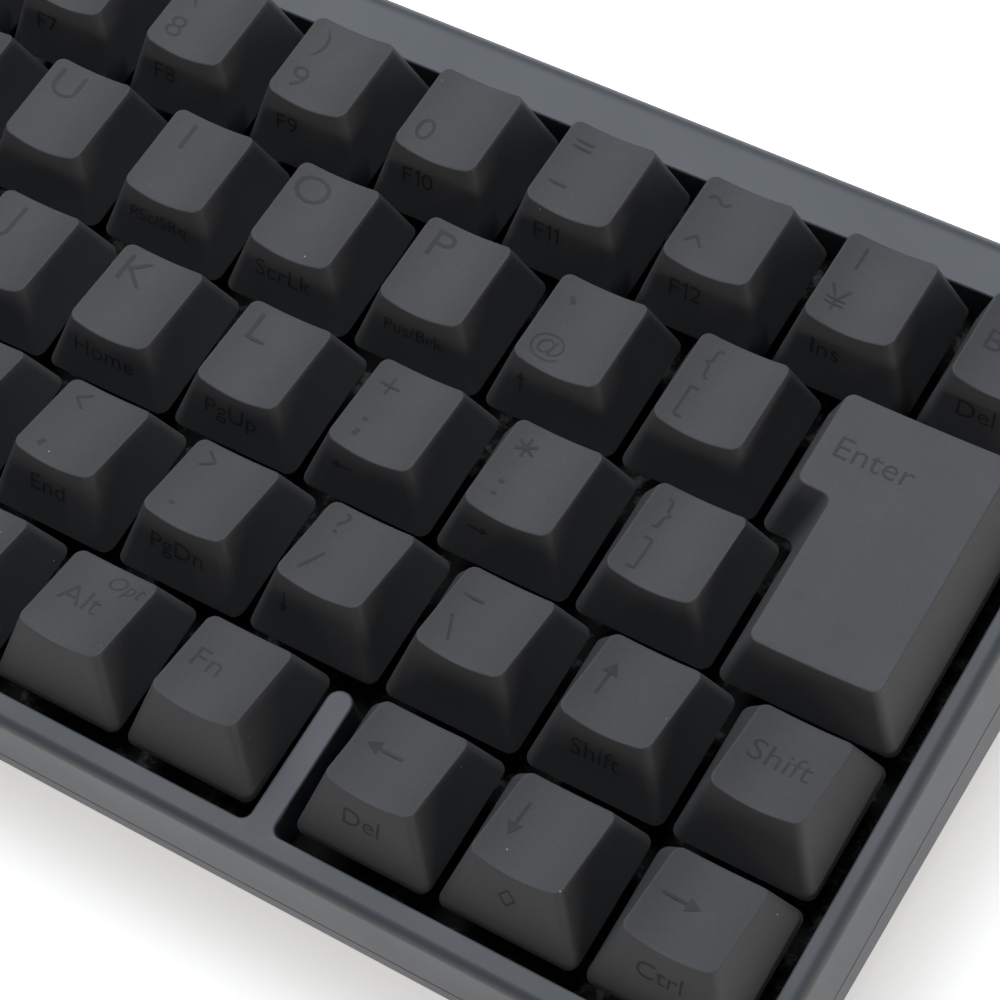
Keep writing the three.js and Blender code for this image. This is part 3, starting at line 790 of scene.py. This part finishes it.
LEGENDS = {
    "key_esc": [word("Esc")],
    "keys_1_to_6": [pair(upper, str(i), f"F{i}") for i, upper in enumerate('!"#$%&', start=1)],
    "key_7": [pair("'", "7", "F7")],
    "key_8": [pair("(", "8", "F8")],
    "key_9": [pair(")", "9", "F9")],
    "key_0": [single("0", "lower", "F10")],
    "key_minus": [pair("=", "-", "F11")],
    "key_caret": [pair("~", "^", "F12")],
    "key_yen": [pair("|", "¥", "Ins")],
    "key_backspace": [word("BS", "Del")],
    "key_tab": [word("Tab", "Caps")],
    "keys_q_to_t": [letter(c) for c in "QWERT"],
    "key_y": [letter("Y")],
    "key_u": [letter("U")],
    "key_i": [letter("I", "PSc/SRq")],
    "key_o": [letter("O", "ScrLk")],
    "key_p": [letter("P", "Pus/Brk")],
    "key_at": [{"top": [("`", "upper"), ("@", "at")], "front": "^|"}],
    "key_bracket_left": [pair("{", "[")],
    "key_enter": [single("Enter", "enter")],
    "key_control": [word("Control")],
    "keys_a_to_h": [letter(c) for c in "ASDFGH"],
    "key_j": [letter("J", "/")],
    "key_k": [letter("K", "Home")],
    "key_l": [letter("L", "PgUp")],
    "key_semicolon": [pair("+", ";", "<-")],
    "key_colon": [pair("*", ":", "->")],
    "key_bracket_right": [pair("}", "]")],
    "key_shift_left": [word("Shift")],
    "keys_z_to_n": [letter(c) for c in "ZXCVBN"],
    "key_m": [letter("M")],
    "key_comma": [pair("<", ",", "End")],
    "key_period": [pair(">", ".", "PgDn")],
    "key_slash": [pair("?", "/", "v|")],
    "key_underscore": [pair("_", "\\")],
    "key_up": [single("^|", "arrow", "Shift")],
    "key_shift_right": [single("Shift", "shift")],
    "keys_front_left": [word("Fn"), word(""), word("<>"), word("Alt"), word("")],
    "key_space": [word("")],
    "key_convert": [word("")],
    "key_kana": [word("")],
    "key_alt": [{"top": [("Alt", "word"), ("Opt", "option")], "front": ""}],
    "key_fn": [word("Fn")],
    "key_left": [single("<-", "arrow", "Del")],
    "key_down": [single("v|", "arrow", "<>")],
    "key_right": [single("->", "arrow", "Ctrl")],
}

# Where a top legend sits: (x from the cap's left top edge, y from the front top edge, height).
# Legends in FROM_LEFT start at that x, and the others are centred on it.
TOP_PLACES = {
    "upper": (2.65, 9.7, 3.3),
    "lower": (2.6, 3.45, 3.3),
    "at": (3.2, 3.15, 2.9),
    "letter": (3.15, 9.7, 4.1),
    "word": (1.65, 6.35, 2.8),
    "option": (8.2, 10.1, 2.0),
    "shift": (5.45, 6.45, 2.8),
    "arrow": (1.45, 6.25, 3.8),
    "enter": (7.0, 25.85, 2.9),
}
FROM_LEFT = ("word", "arrow")
OPTION_SLANT = 0.25

# A front legend is centred, except on the back row and for arrows.
FRONT_SIZE = 2.3
FRONT_SHARE = 0.605
FRONT_CENTRE = 5.5
FRONT_START = 1.8
FRONT_ARROW_START = 1.1
LONG_WORD = 5
LONG_WORD_SIZE = 1.7


def add_legends(cap, builder, legends, row):
    left = min(x for x, _ in cap.top)
    for text, place in legends["top"]:
        if text:
            x, y, size = TOP_PLACES[place]
            slant = OPTION_SLANT if place == "option" else 0.0
            flush = place in FROM_LEFT
            cap.mark_top(builder, text, size, left + x, cap.front_y + y, slant, flush)
    text = legends["front"]
    if text:
        size = LONG_WORD_SIZE if len(text) > LONG_WORD else FRONT_SIZE
        start = FRONT_ARROW_START if text in ARROWS else FRONT_START if row == 0 else None
        x = FRONT_CENTRE if start is None else start
        cap.mark_front(builder, text, size, left + x, start is not None)


def make_cap(name, cap, x, y, legends, node, row=1, plastic=KEYCAP):
    builder = Builder()
    cap.build(builder)
    bmesh.ops.recalc_face_normals(builder.bm, faces=builder.bm.faces[:])
    add_legends(cap, builder, legends, row)
    place = DECK @ Matrix.Translation((x, y, 0))
    obj = builder.finish(name, place, [plastic, *INKS], recalculate=False)
    settle(obj, node, node)


MIDDLE_ROW = 2


def make_keys():
    for node, legends in LEGENDS.items():
        low, high = node_box(node)
        x, y = (low.x + high.x) / 2, (low.y + high.y) / 2
        if node == "key_enter":
            x = high.x + KEY_GAP / 2 - ENTER_HALF * KEY_PITCH
            make_cap("cap_enter", enter_cap(), x, y, legends[0], node, plastic=ENTER_CAP_PAINTED_LIGHT)
            continue
        # In a joined run the first cap takes what the others, one unit each, leave.
        followers = len(legends) - 1
        widths = [(high.x - low.x + KEY_GAP) / KEY_PITCH - followers] + [1] * followers
        edge = low.x - KEY_GAP / 2
        for i, (units, legend) in enumerate(zip(widths, legends)):
            centre = edge + units * KEY_PITCH / 2
            edge += units * KEY_PITCH
            suffix = f"_{i + 1}" if followers else ""
            name = node.replace("keys_", "cap_").replace("key_", "cap_") + suffix
            row = MIDDLE_ROW - round(y / KEY_PITCH)
            make_cap(name, straight_cap(units, row), centre, y, legend, node, row)


# ---- Case ----
CASE_ARC_STEPS = 12
CASE_EDGE_STEPS = 24
WELL_ARC_STEPS = 8
WELL_EDGE_STEPS = 12
TIP_FLAT = 0.02
SHOULDER_STEPS = 8
LIP_STEPS = 3


def case_outline(inset, rear_inset=None, radius=None):
    rear_inset = inset if rear_inset is None else rear_inset
    half = CASE_HALF_WIDTH - inset
    corners = rectangle(-half, half, CASE_FRONT + inset, CASE_BACK - rear_inset)
    radius = CASE_CORNER if radius is None else radius
    return rounded_outline(corners, [radius] * 4, CASE_ARC_STEPS, CASE_EDGE_STEPS)


def well_outline(grow):
    """Edge of the key well, which runs round the divider bar. grow moves it into the bezel."""
    left, right = DIVIDER_X - DIVIDER_HALF, DIVIDER_X + DIVIDER_HALF
    half = WELL_HALF_WIDTH + grow
    front, back, tip = WELL_FRONT - grow, WELL_BACK + grow, DIVIDER_TIP_Y - grow
    corners = [(-half, front), (left + grow, front), (left + grow, tip), (right - grow, tip),
               (right - grow, front), (half, front), (half, back), (-half, back)]
    wide, tight = WELL_CORNER + grow, DIVIDER_HALF - TIP_FLAT - grow
    radii = [wide, wide, tight, tight, wide, wide, wide, wide]
    return rounded_outline(corners, radii, WELL_ARC_STEPS, WELL_EDGE_STEPS)


def shoulder_at(y):
    """Shoulder radius, which grows from the sides to the back."""
    share = max(0.0, min(1.0, (y - CASE_BACK + 2 * CASE_CORNER) / (2 * CASE_CORNER)))
    return SHOULDER + (REAR_SHOULDER - SHOULDER) * share * share * (3 - 2 * share)


def upper_case():
    builder = Builder()
    inside = case_outline(CASE_WALL, radius=CASE_CORNER - CASE_WALL)
    inner_high, inner_low = (builder.level_ring(inside, z) for z in (-WELL_DEPTH, SEAM_Z))
    rings = [
        builder.level_ring(case_outline(SEAM_CHAMFER), SEAM_Z),
        builder.level_ring(case_outline(0), SEAM_Z + SEAM_CHAMFER),
    ]
    for share_in, share_down in quarter_round(SHOULDER_STEPS):
        outline = case_outline(WALL_DRAFT + SHOULDER * share_in, REAR_SHOULDER * share_in)
        rings.append(builder.ring([(p.x, p.y, -shoulder_at(p.y) * share_down) for p in outline]))
    builder.skin([inner_high, inner_low, rings[0]])
    lip = quarter_round(LIP_STEPS, LIP_FILLET)
    well = [builder.level_ring(well_outline(grow), -drop) for drop, grow in lip]
    well.append(builder.level_ring(well_outline(0), -WELL_DEPTH))
    builder.skin(rings)
    builder.skin(well)
    builder.fill(rings[-1], well[0])
    builder.fill(inner_high, well[-1])
    obj = shade(builder.finish("case_top", DECK, [CASE]))
    settle(obj, "case", "upper_case")


# ---- Lower case, in the desk's own axes ----
DECK_TO_DESK = Matrix.Rotation(DECK_TILT, 4, "X") @ Matrix.Translation(DECK_ORIGIN)
HERE = Matrix.Identity(4)
BOX_ARC_STEPS = 6
OVERLAP = 1.0
BELLY_BLEND = 1.4
BELLY_FLAT = 4.0
LOWER_WALL = 2.0
POCKET_RADIUS = 0.8
POCKET_GAP = 0.5
POCKET_PLAY = 0.8

PAD_LENGTH = 22
PAD_WIDTH = 7
PAD_RADIUS = 3.3
PAD_FILLET = 0.6
PAD_FILLET_STEPS = 4
PAD_ARC_STEPS = 8
PAD_SINK = 0.9
CLEARANCE = 0.3

FOOT_WIDTH = 28
FOOT_REACH = 12
FOOT_THICKNESS = 3.2
HINGE_BARREL = 1.9
HINGE_PIN = 1.2
HINGE_PIN_LENGTH = 1.6
POCKET_DEPTH = 4.6
POCKET_WALL = 1.8
NOTCH_WIDTH = 14
NOTCH_LENGTH = 5.4
NOTCH_RADIUS = 2.4

SCREW_HEAD = 3.0
SCREW_HEAD_HEIGHT = 1.8
SCREW_SHANK = 1.4
SCREW_SINK = 2.6
# The round edge of the head: how far inside its radius, and how far above its face.
SCREW_EDGE = ((0.9, 0.0), (0.3, 0.2), (0.0, 0.7))
CROSS_SIZES = ((3.4, 0.8), (0.8, 3.4))
CROSS_DEPTH = 1.1
CROSS_RADIUS = 0.3
SEAT_GAP = 0.4
BOSS_RADIUS = 5.0
BOSS_HEIGHT = 6.0
BORE_ROOF = 1.0

LABEL_CENTRE = (0, -12)
LABEL_SIZE = (64, 26)
LABEL_DEPTH = 0.3
LABEL_RADIUS = 2.0

# Sections of the USB inlet: (width, height, corner radius).
USB_RECESS = (13, 7, 1.6)
USB_BOSS = (20, 9.6, 0.6)
USB_BOSS_REACH = 2
USB_SHELL = (9, 3.2, 1.4)
USB_SHELL_WALL = 0.35
USB_MOUTH = (USB_SHELL[0] - 2 * USB_SHELL_WALL, USB_SHELL[1] - 2 * USB_SHELL_WALL, 1.1)
USB_SLOT = (USB_SHELL[0] + 2 * CLEARANCE, USB_SHELL[1] + 2 * CLEARANCE, 1.5)
USB_SLOT_DEPTH = 3
USB_TONGUE = (6.7, 0.7, 0.2)
USB_TONGUE_LENGTH = 5.0
USB_TONGUE_ROOT = 0.5
USB_TONGUE_SETBACK = 1.0
CONTACT_COUNT = 5
CONTACT_PITCH = 1.1
CONTACT_SECTION = (0.5, 0.12, 0.04)
CONTACT_START = 0.3
CONTACT_END = 0.4


def blended(points, reach, steps=4):
    """A profile whose inner corners are rounded over a reach on either side."""
    result = [Vector(points[0])]
    for before, here, after in zip(points, points[1:], points[2:]):
        here = Vector(here)
        start = here + (Vector(before) - here).normalized() * reach
        end = here + (Vector(after) - here).normalized() * reach
        result += [bent(start, here, end, k / steps) for k in range(steps + 1)]
    result.append(Vector(points[-1]))
    return result


def box_outline(size, radius, steps, centre=(0, 0)):
    """A rectangle about a centre, with round corners."""
    x, y = centre
    half_x, half_y = size[0] / 2, size[1] / 2
    corners = rectangle(x - half_x, x + half_x, y - half_y, y + half_y)
    return rounded_outline(corners, [radius] * 4, steps, 1)


def tube_of(name, rings, material, matrix=HERE):
    """A closed solid through rings of points, flat at both ends."""
    builder = Builder()
    rings = [builder.ring(points) for points in rings]
    builder.skin(rings)
    builder.fill(rings[0])
    builder.fill(rings[-1])
    return builder.finish(name, matrix, [material])


def block(name, centre, size, bottom, top, radius=POCKET_RADIUS, material=CASE):
    """An upright box with round upright edges."""
    outline = box_outline(size, radius, BOX_ARC_STEPS, centre)
    return tube_of(name, [[(p.x, p.y, z) for p in outline] for z in (bottom, top)], material)


def turned(name, centre, profile, material):
    """A solid of revolution about an upright axis. The profile holds (radius, z)."""
    rings = [[(x + centre[0], y + centre[1], z) for x, y in circle(radius)] for radius, z in profile]
    return tube_of(name, rings, material)


def lower_shell():
    builder = Builder()
    rim = SEAM_Z - SEAM_GAP

    def at_height(outline, height):
        return builder.ring([(p.x, p.y, deck_z(height, p.y)) for p in outline])

    profile = [
        (BELLY_INSET + BELLY_FLAT, BELLY_HEIGHT), (BELLY_INSET, BELLY_HEIGHT),
        (0, EDGE_HEIGHT), (0, EDGE_HEIGHT + LOWER_WALL),
    ]
    rings = [at_height(case_outline(inset), height) for inset, height in blended(profile, BELLY_BLEND)]
    rings.append(builder.level_ring(case_outline(0), rim - SEAM_CHAMFER))
    rings.append(builder.level_ring(case_outline(SEAM_CHAMFER), rim))
    inside = case_outline(CASE_WALL, radius=CASE_CORNER - CASE_WALL)
    rings.append(builder.level_ring(inside, rim))
    rings.append(at_height(inside, BELLY_HEIGHT + FLOOR_THICKNESS))
    builder.skin(rings)
    builder.fill(rings[0])
    builder.fill(rings[-1])
    return builder.finish("case_bottom", DECK_TO_DESK, [CASE])


def nodes_like(start):
    return [name for name in sorted(frame["nodes"]) if name.startswith(start)]


def desk_box(node):
    """Lowest and highest corner of a CAD node over the desk, in millimetres."""
    return corners_of([v.co / MM for v in frame["nodes"][node].data.vertices])


def middle_of(node):
    low, high = desk_box(node)
    return (low.x + high.x) / 2, (low.y + high.y) / 2


usb_low, usb_high = node_box("usb_port")
USB_X, USB_Z = (usb_low.x + usb_high.x) / 2, (usb_low.z + usb_high.z) / 2
USB_FACE = usb_high.y


def inlet_bar(name, section, front, back, material=CASE, offset=(0, 0)):
    """A bar with a rounded section along Y, set off by (x, z) from the middle of the USB inlet."""
    width, height, radius = section
    outline = box_outline((width, height), radius, BOX_ARC_STEPS)
    x, z = USB_X + offset[0], USB_Z + offset[1]
    rings = [[(x + p.x, y, z + p.y) for p in outline] for y in (back, front)]
    return tube_of(name, rings, material, DECK_TO_DESK)


def foot_pocket(node):
    """Housing and cutters of the pocket that a tilt foot folds into."""
    low, high = desk_box(node)
    x = (low.x + high.x) / 2
    front, back = low.y - POCKET_GAP, high.y + POCKET_GAP
    top = BELLY_HEIGHT + POCKET_DEPTH
    width = FOOT_WIDTH + POCKET_PLAY
    notch_y = front - NOTCH_LENGTH / 2 + OVERLAP / 2
    housing_y = (front - NOTCH_LENGTH + back) / 2
    housing_width = width + 2 * (HINGE_PIN_LENGTH + POCKET_WALL)
    housing_size = (housing_width, back - front + NOTCH_LENGTH + 2 * POCKET_WALL)
    notch_size = (NOTCH_WIDTH, NOTCH_LENGTH + OVERLAP)
    housing = block("housing", (x, housing_y), housing_size, BELLY_HEIGHT + OVERLAP, top + POCKET_WALL)
    pocket = block("pocket", (x, (front + back) / 2), (width, back - front), 0, top)
    notch = block("notch", (x, notch_y), notch_size, 0, top, NOTCH_RADIUS)
    return housing, [pocket, notch]


def lower_case():
    shell = lower_shell()
    added, cutters = [], []
    for node in nodes_like("tilt_foot"):
        housing, holes = foot_pocket(node)
        added.append(housing)
        cutters += holes
    seat = BELLY_HEIGHT + SCREW_SINK
    boss_top = seat + BOSS_HEIGHT
    boss = [(BOSS_RADIUS, BELLY_HEIGHT + OVERLAP), (BOSS_RADIUS, boss_top)]
    hole = SCREW_HEAD + SEAT_GAP
    hole_profile = [(hole + SEAT_GAP, 0), (hole, BELLY_HEIGHT + SEAT_GAP), (hole, seat)]
    bore = SCREW_SHANK + CLEARANCE
    bore_profile = [(bore, seat - OVERLAP), (bore, boss_top - BORE_ROOF)]
    for node in nodes_like("case_screw"):
        place = middle_of(node)
        added.append(turned("boss", place, boss, CASE))
        cutters.append(turned("seat", place, hole_profile, CASE))
        cutters.append(turned("bore", place, bore_profile, CASE))
    pad_size = (PAD_LENGTH + 2 * CLEARANCE, PAD_WIDTH + 2 * CLEARANCE)
    pad_radius = PAD_RADIUS + CLEARANCE
    for node in nodes_like("rubber_pad"):
        place = middle_of(node)
        cutters.append(block("pad_seat", place, pad_size, 0, BELLY_HEIGHT + PAD_SINK, pad_radius))
    label_top = BELLY_HEIGHT + LABEL_DEPTH
    cutters.append(block("label", LABEL_CENTRE, LABEL_SIZE, 0, label_top, LABEL_RADIUS))
    boss_front, boss_back = USB_FACE - USB_BOSS_REACH, CASE_BACK - CASE_WALL / 2
    added.append(inlet_bar("inlet_boss", USB_BOSS, boss_front, boss_back))
    cutters.append(inlet_bar("inlet_recess", USB_RECESS, USB_FACE, CASE_BACK + OVERLAP))
    cutters.append(inlet_bar("inlet_slot", USB_SLOT, USB_FACE - USB_SLOT_DEPTH, USB_FACE + OVERLAP))
    combine(shell, "UNION", added)
    combine(shell, "DIFFERENCE", cutters)
    shell.data.transform(DESK)
    settle(shade(shell), "case", "lower_case")


# ---- Small pieces ----
RIB_COUNT = 4
RIB_PITCH = 1.6
RIB_HEIGHT = 0.3
RIB_WIDTH = 0.7
RIB_RADIUS = 0.3
RIB_START = 1.4
RIB_MARGIN = 4
TIP_LENGTH = 1.6
TIP_RADIUS = 0.4
BARREL_STEPS = 14
BARREL_SWEEP = math.radians(122)
PIN_STEPS = 24
BEVEL = {"width": 0.3, "segments": 3, "limit_method": "ANGLE", "angle_limit": math.radians(40)}


def finish_small(obj, body, node):
    obj.data.transform(DESK)
    settle(shade(obj), body, node)


def tilt_foot(node):
    """A folding foot: flat tongue with grip ribs, hinge barrel, pins and a rubber tip."""
    low, high = desk_box(node)
    x = (low.x + high.x) / 2
    hinge_y, hinge_z = high.y - HINGE_BARREL, (low.z + high.z) / 2
    half = FOOT_THICKNESS / 2
    start = hinge_y - FOOT_REACH + TIP_LENGTH
    sweep = [BARREL_SWEEP * (2 * k / BARREL_STEPS - 1) for k in range(BARREL_STEPS + 1)]
    side = [(start, -half)]
    side += [(hinge_y + HINGE_BARREL * math.cos(a), HINGE_BARREL * math.sin(a)) for a in sweep]
    side.append((start, half))
    reach = FOOT_WIDTH / 2
    rings = [[(x + dx, y, hinge_z + z) for y, z in side] for dx in (-reach, reach)]
    foot = reshape(tube_of(node.replace("tilt_foot", "foot"), rings, CASE), "BEVEL", **BEVEL)
    reach += HINGE_PIN_LENGTH
    section = circle(HINGE_PIN, PIN_STEPS)
    pin = [[(x + dx, hinge_y + y, hinge_z + z) for y, z in section] for dx in (-reach, reach)]
    rib_size = (FOOT_WIDTH - 2 * RIB_MARGIN, RIB_WIDTH)
    ribs = []
    for k in range(RIB_COUNT):
        place = (x, start + RIB_START + k * RIB_PITCH)
        ribs.append(block("rib", place, rib_size, hinge_z - half - RIB_HEIGHT, hinge_z, RIB_RADIUS))
    combine(foot, "UNION", [tube_of("pin", pin, CASE), *ribs])
    finish_small(foot, node, node)
    name = node.replace("tilt_foot", "foot_tip")
    place, size = (x, start - TIP_LENGTH / 2), (FOOT_WIDTH, TIP_LENGTH)
    tip = block(name, place, size, hinge_z - half, hinge_z + half, TIP_RADIUS, RUBBER)
    finish_small(reshape(tip, "BEVEL", **BEVEL), node, node)


def rubber_pad(node):
    """A stadium-shaped pad with a round lower edge."""
    _, high = desk_box(node)
    rings = []
    for rise, inset in quarter_round(PAD_FILLET_STEPS, PAD_FILLET):
        size = (PAD_LENGTH - 2 * inset, PAD_WIDTH - 2 * inset)
        outline = box_outline(size, PAD_RADIUS - inset, PAD_ARC_STEPS, middle_of(node))
        rings.append([(p.x, p.y, rise) for p in outline])
    rings.append([(x, y, high.z) for x, y, _ in rings[-1]])
    finish_small(tube_of(node.replace("rubber_", ""), rings, RUBBER), "case", node)


def case_screw(node):
    """A pan-head screw with a cross recess, seen from below."""
    low, high = desk_box(node)
    place = middle_of(node)
    head_top = low.z + SCREW_HEAD_HEIGHT
    profile = [(SCREW_HEAD - inset, low.z + rise) for inset, rise in SCREW_EDGE]
    profile += [(SCREW_HEAD, head_top), (SCREW_SHANK, head_top), (SCREW_SHANK, high.z)]
    screw = turned(node.replace("case_", ""), place, profile, STEEL)
    slot_top = low.z + CROSS_DEPTH
    slots = [block("slot", place, size, 0, slot_top, CROSS_RADIUS) for size in CROSS_SIZES]
    combine(screw, "DIFFERENCE", slots)
    finish_small(screw, "case", node)


def usb_inlet():
    """The metal shell, its black tongue and the contacts on it."""
    floor = USB_FACE - USB_TONGUE_SETBACK - USB_TONGUE_LENGTH
    tip = floor + USB_TONGUE_LENGTH
    shell = inlet_bar("inlet_shell", USB_SHELL, usb_low.y, USB_FACE, STEEL)
    mouth = inlet_bar("mouth", USB_MOUTH, floor, USB_FACE + OVERLAP, STEEL)
    combine(shell, "DIFFERENCE", [mouth])
    finish_small(shell, "case", "usb_port")
    tongue = inlet_bar("inlet_tongue", USB_TONGUE, floor - USB_TONGUE_ROOT, tip, PLATE)
    finish_small(tongue, "case", "usb_port")
    start, end = floor + CONTACT_START, tip - CONTACT_END
    for k in range(CONTACT_COUNT):
        offset = ((k - (CONTACT_COUNT - 1) / 2) * CONTACT_PITCH, USB_TONGUE[1] / 2)
        name = f"inlet_contact_{k + 1}"
        contact = inlet_bar(name, CONTACT_SECTION, start, end, STEEL, offset)
        finish_small(contact, "case", "usb_port")


def carry(nodes, material):
    """Keep CAD nodes and give them a finished material."""
    for node in nodes:
        obj = frame["nodes"][node]
        obj.data.materials.clear()
        obj.data.materials.append(material)


make_keys()
upper_case()
lower_case()
for foot_node in nodes_like("tilt_foot"):
    tilt_foot(foot_node)
for pad_node in nodes_like("rubber_pad"):
    rubber_pad(pad_node)
for screw_node in nodes_like("case_screw"):
    case_screw(screw_node)
usb_inlet()
carry(["switch_plate"], PLATE)
carry(["circuit_board"], BOARD)


# ---- Stage, light and camera, in metres and watts ----
FLOOR_SIZE = 6.0
FLOOR_Z = -0.0001
FLOOR_GLOW = 0.59


def make_floor():
    mesh = bpy.data.meshes.new("floor")
    half = FLOOR_SIZE / 2
    corners = [(x, y, FLOOR_Z) for x, y in rectangle(-half, half, -half, half)]
    mesh.from_pydata(corners, [], [(0, 1, 2, 3)])
    floor = bpy.data.objects.new("floor", mesh)
    shader = Shader("floor_white", (0.86, 0.86, 0.85), roughness=0.6)
    shader.paint(shader.clouded(shader.noise(60), 0.01, 0.01))
    shader.set_input("Emission Color", (1.0, 0.98, 0.95, 1))
    shader.set_input("Emission Strength", FLOOR_GLOW)
    mesh.materials.append(shader.material)
    bpy.context.scene.collection.objects.link(floor)


COOL = (0.9, 0.95, 1.0)
WARM = (1.0, 0.94, 0.86)
# Name, place, aim, size, power and colour of each softbox.
LIGHTS = [
    ("softbox_top", (-0.25, 0.37, 0.97), (0.06, 0, 0), (0.91, 1.0), 13.3, COOL),
    ("fill_low", (2.04, -0.5, 0.1), (0.1, 0, 0.01), (1.92, 0.19), 14.0, WARM),
    ("front_low", (-0.5, -2.0, 0.1), (0.1, -0.05, 0.01), (1.92, 0.19), 3.4, WARM),
]


def add_light(name, location, target, size, energy, colour):
    light = bpy.data.lights.new(name, "AREA")
    light.shape = "RECTANGLE"
    light.size, light.size_y = size
    light.energy = energy
    light.color = colour
    obj = bpy.data.objects.new(name, light)
    obj.location = location
    aim = Vector(target) - Vector(location)
    obj.rotation_euler = aim.to_track_quat("-Z", "Y").to_euler()
    bpy.context.scene.collection.objects.link(obj)


ROOM = ((0.7, 0.85, 1.0), 0.014)
BACKDROP = ((1.0, 0.99, 0.97), 0.6)


def make_world():
    """A dim room round the softboxes, with a pale backdrop where the camera sees past the floor."""
    world = bpy.data.worlds.new("studio")
    world.use_nodes = True
    tree = world.node_tree
    tree.nodes.clear()
    output, choice, path = (
        tree.nodes.new(kind)
        for kind in ("ShaderNodeOutputWorld", "ShaderNodeMixShader", "ShaderNodeLightPath")
    )
    tree.links.new(path.outputs["Is Camera Ray"], choice.inputs[0])
    for i, (colour, strength) in enumerate((ROOM, BACKDROP), start=1):
        glow = tree.nodes.new("ShaderNodeBackground")
        glow.inputs["Color"].default_value = (*colour, 1)
        glow.inputs["Strength"].default_value = strength
        tree.links.new(glow.outputs["Background"], choice.inputs[i])
    tree.links.new(choice.outputs["Shader"], output.inputs["Surface"])
    bpy.context.scene.world = world


# The camera in deck coordinates: degrees and millimetres.
CAMERA_AZIMUTH = 46.77
CAMERA_ELEVATION = 59.97
CAMERA_ROLL = -17.88
CAMERA_TARGET = (86.0, -0.7, 0)
CAMERA_DISTANCE = 362.9
CAMERA_LENS = 111.1
CAMERA_SENSOR = 36


def make_camera():
    """The view is set in the deck's own axes, looking down at the right-hand end of the keys."""
    rotation = Matrix.Identity(4)
    for degrees, axis in ((CAMERA_AZIMUTH, "Z"), (90 - CAMERA_ELEVATION, "X"), (CAMERA_ROLL, "Z")):
        rotation @= Matrix.Rotation(math.radians(degrees), 4, axis)
    place = Vector(CAMERA_TARGET) + rotation @ Vector((0, 0, CAMERA_DISTANCE))
    camera = bpy.data.objects.new("camera", bpy.data.cameras.new("camera"))
    camera.data.lens = CAMERA_LENS
    camera.data.sensor_width = CAMERA_SENSOR
    camera.data.clip_start = 0.01
    tilt = Matrix.Rotation(DECK_TILT, 4, "X")
    camera.matrix_world = Matrix.Translation(DECK @ place) @ tilt @ rotation
    bpy.context.scene.collection.objects.link(camera)
    bpy.context.scene.camera = camera


bpy.context.scene.view_settings.view_transform = "Standard"
make_floor()
make_world()
for softbox in LIGHTS:
    add_light(*softbox)
make_camera()

bpy.context.view_layer.update()
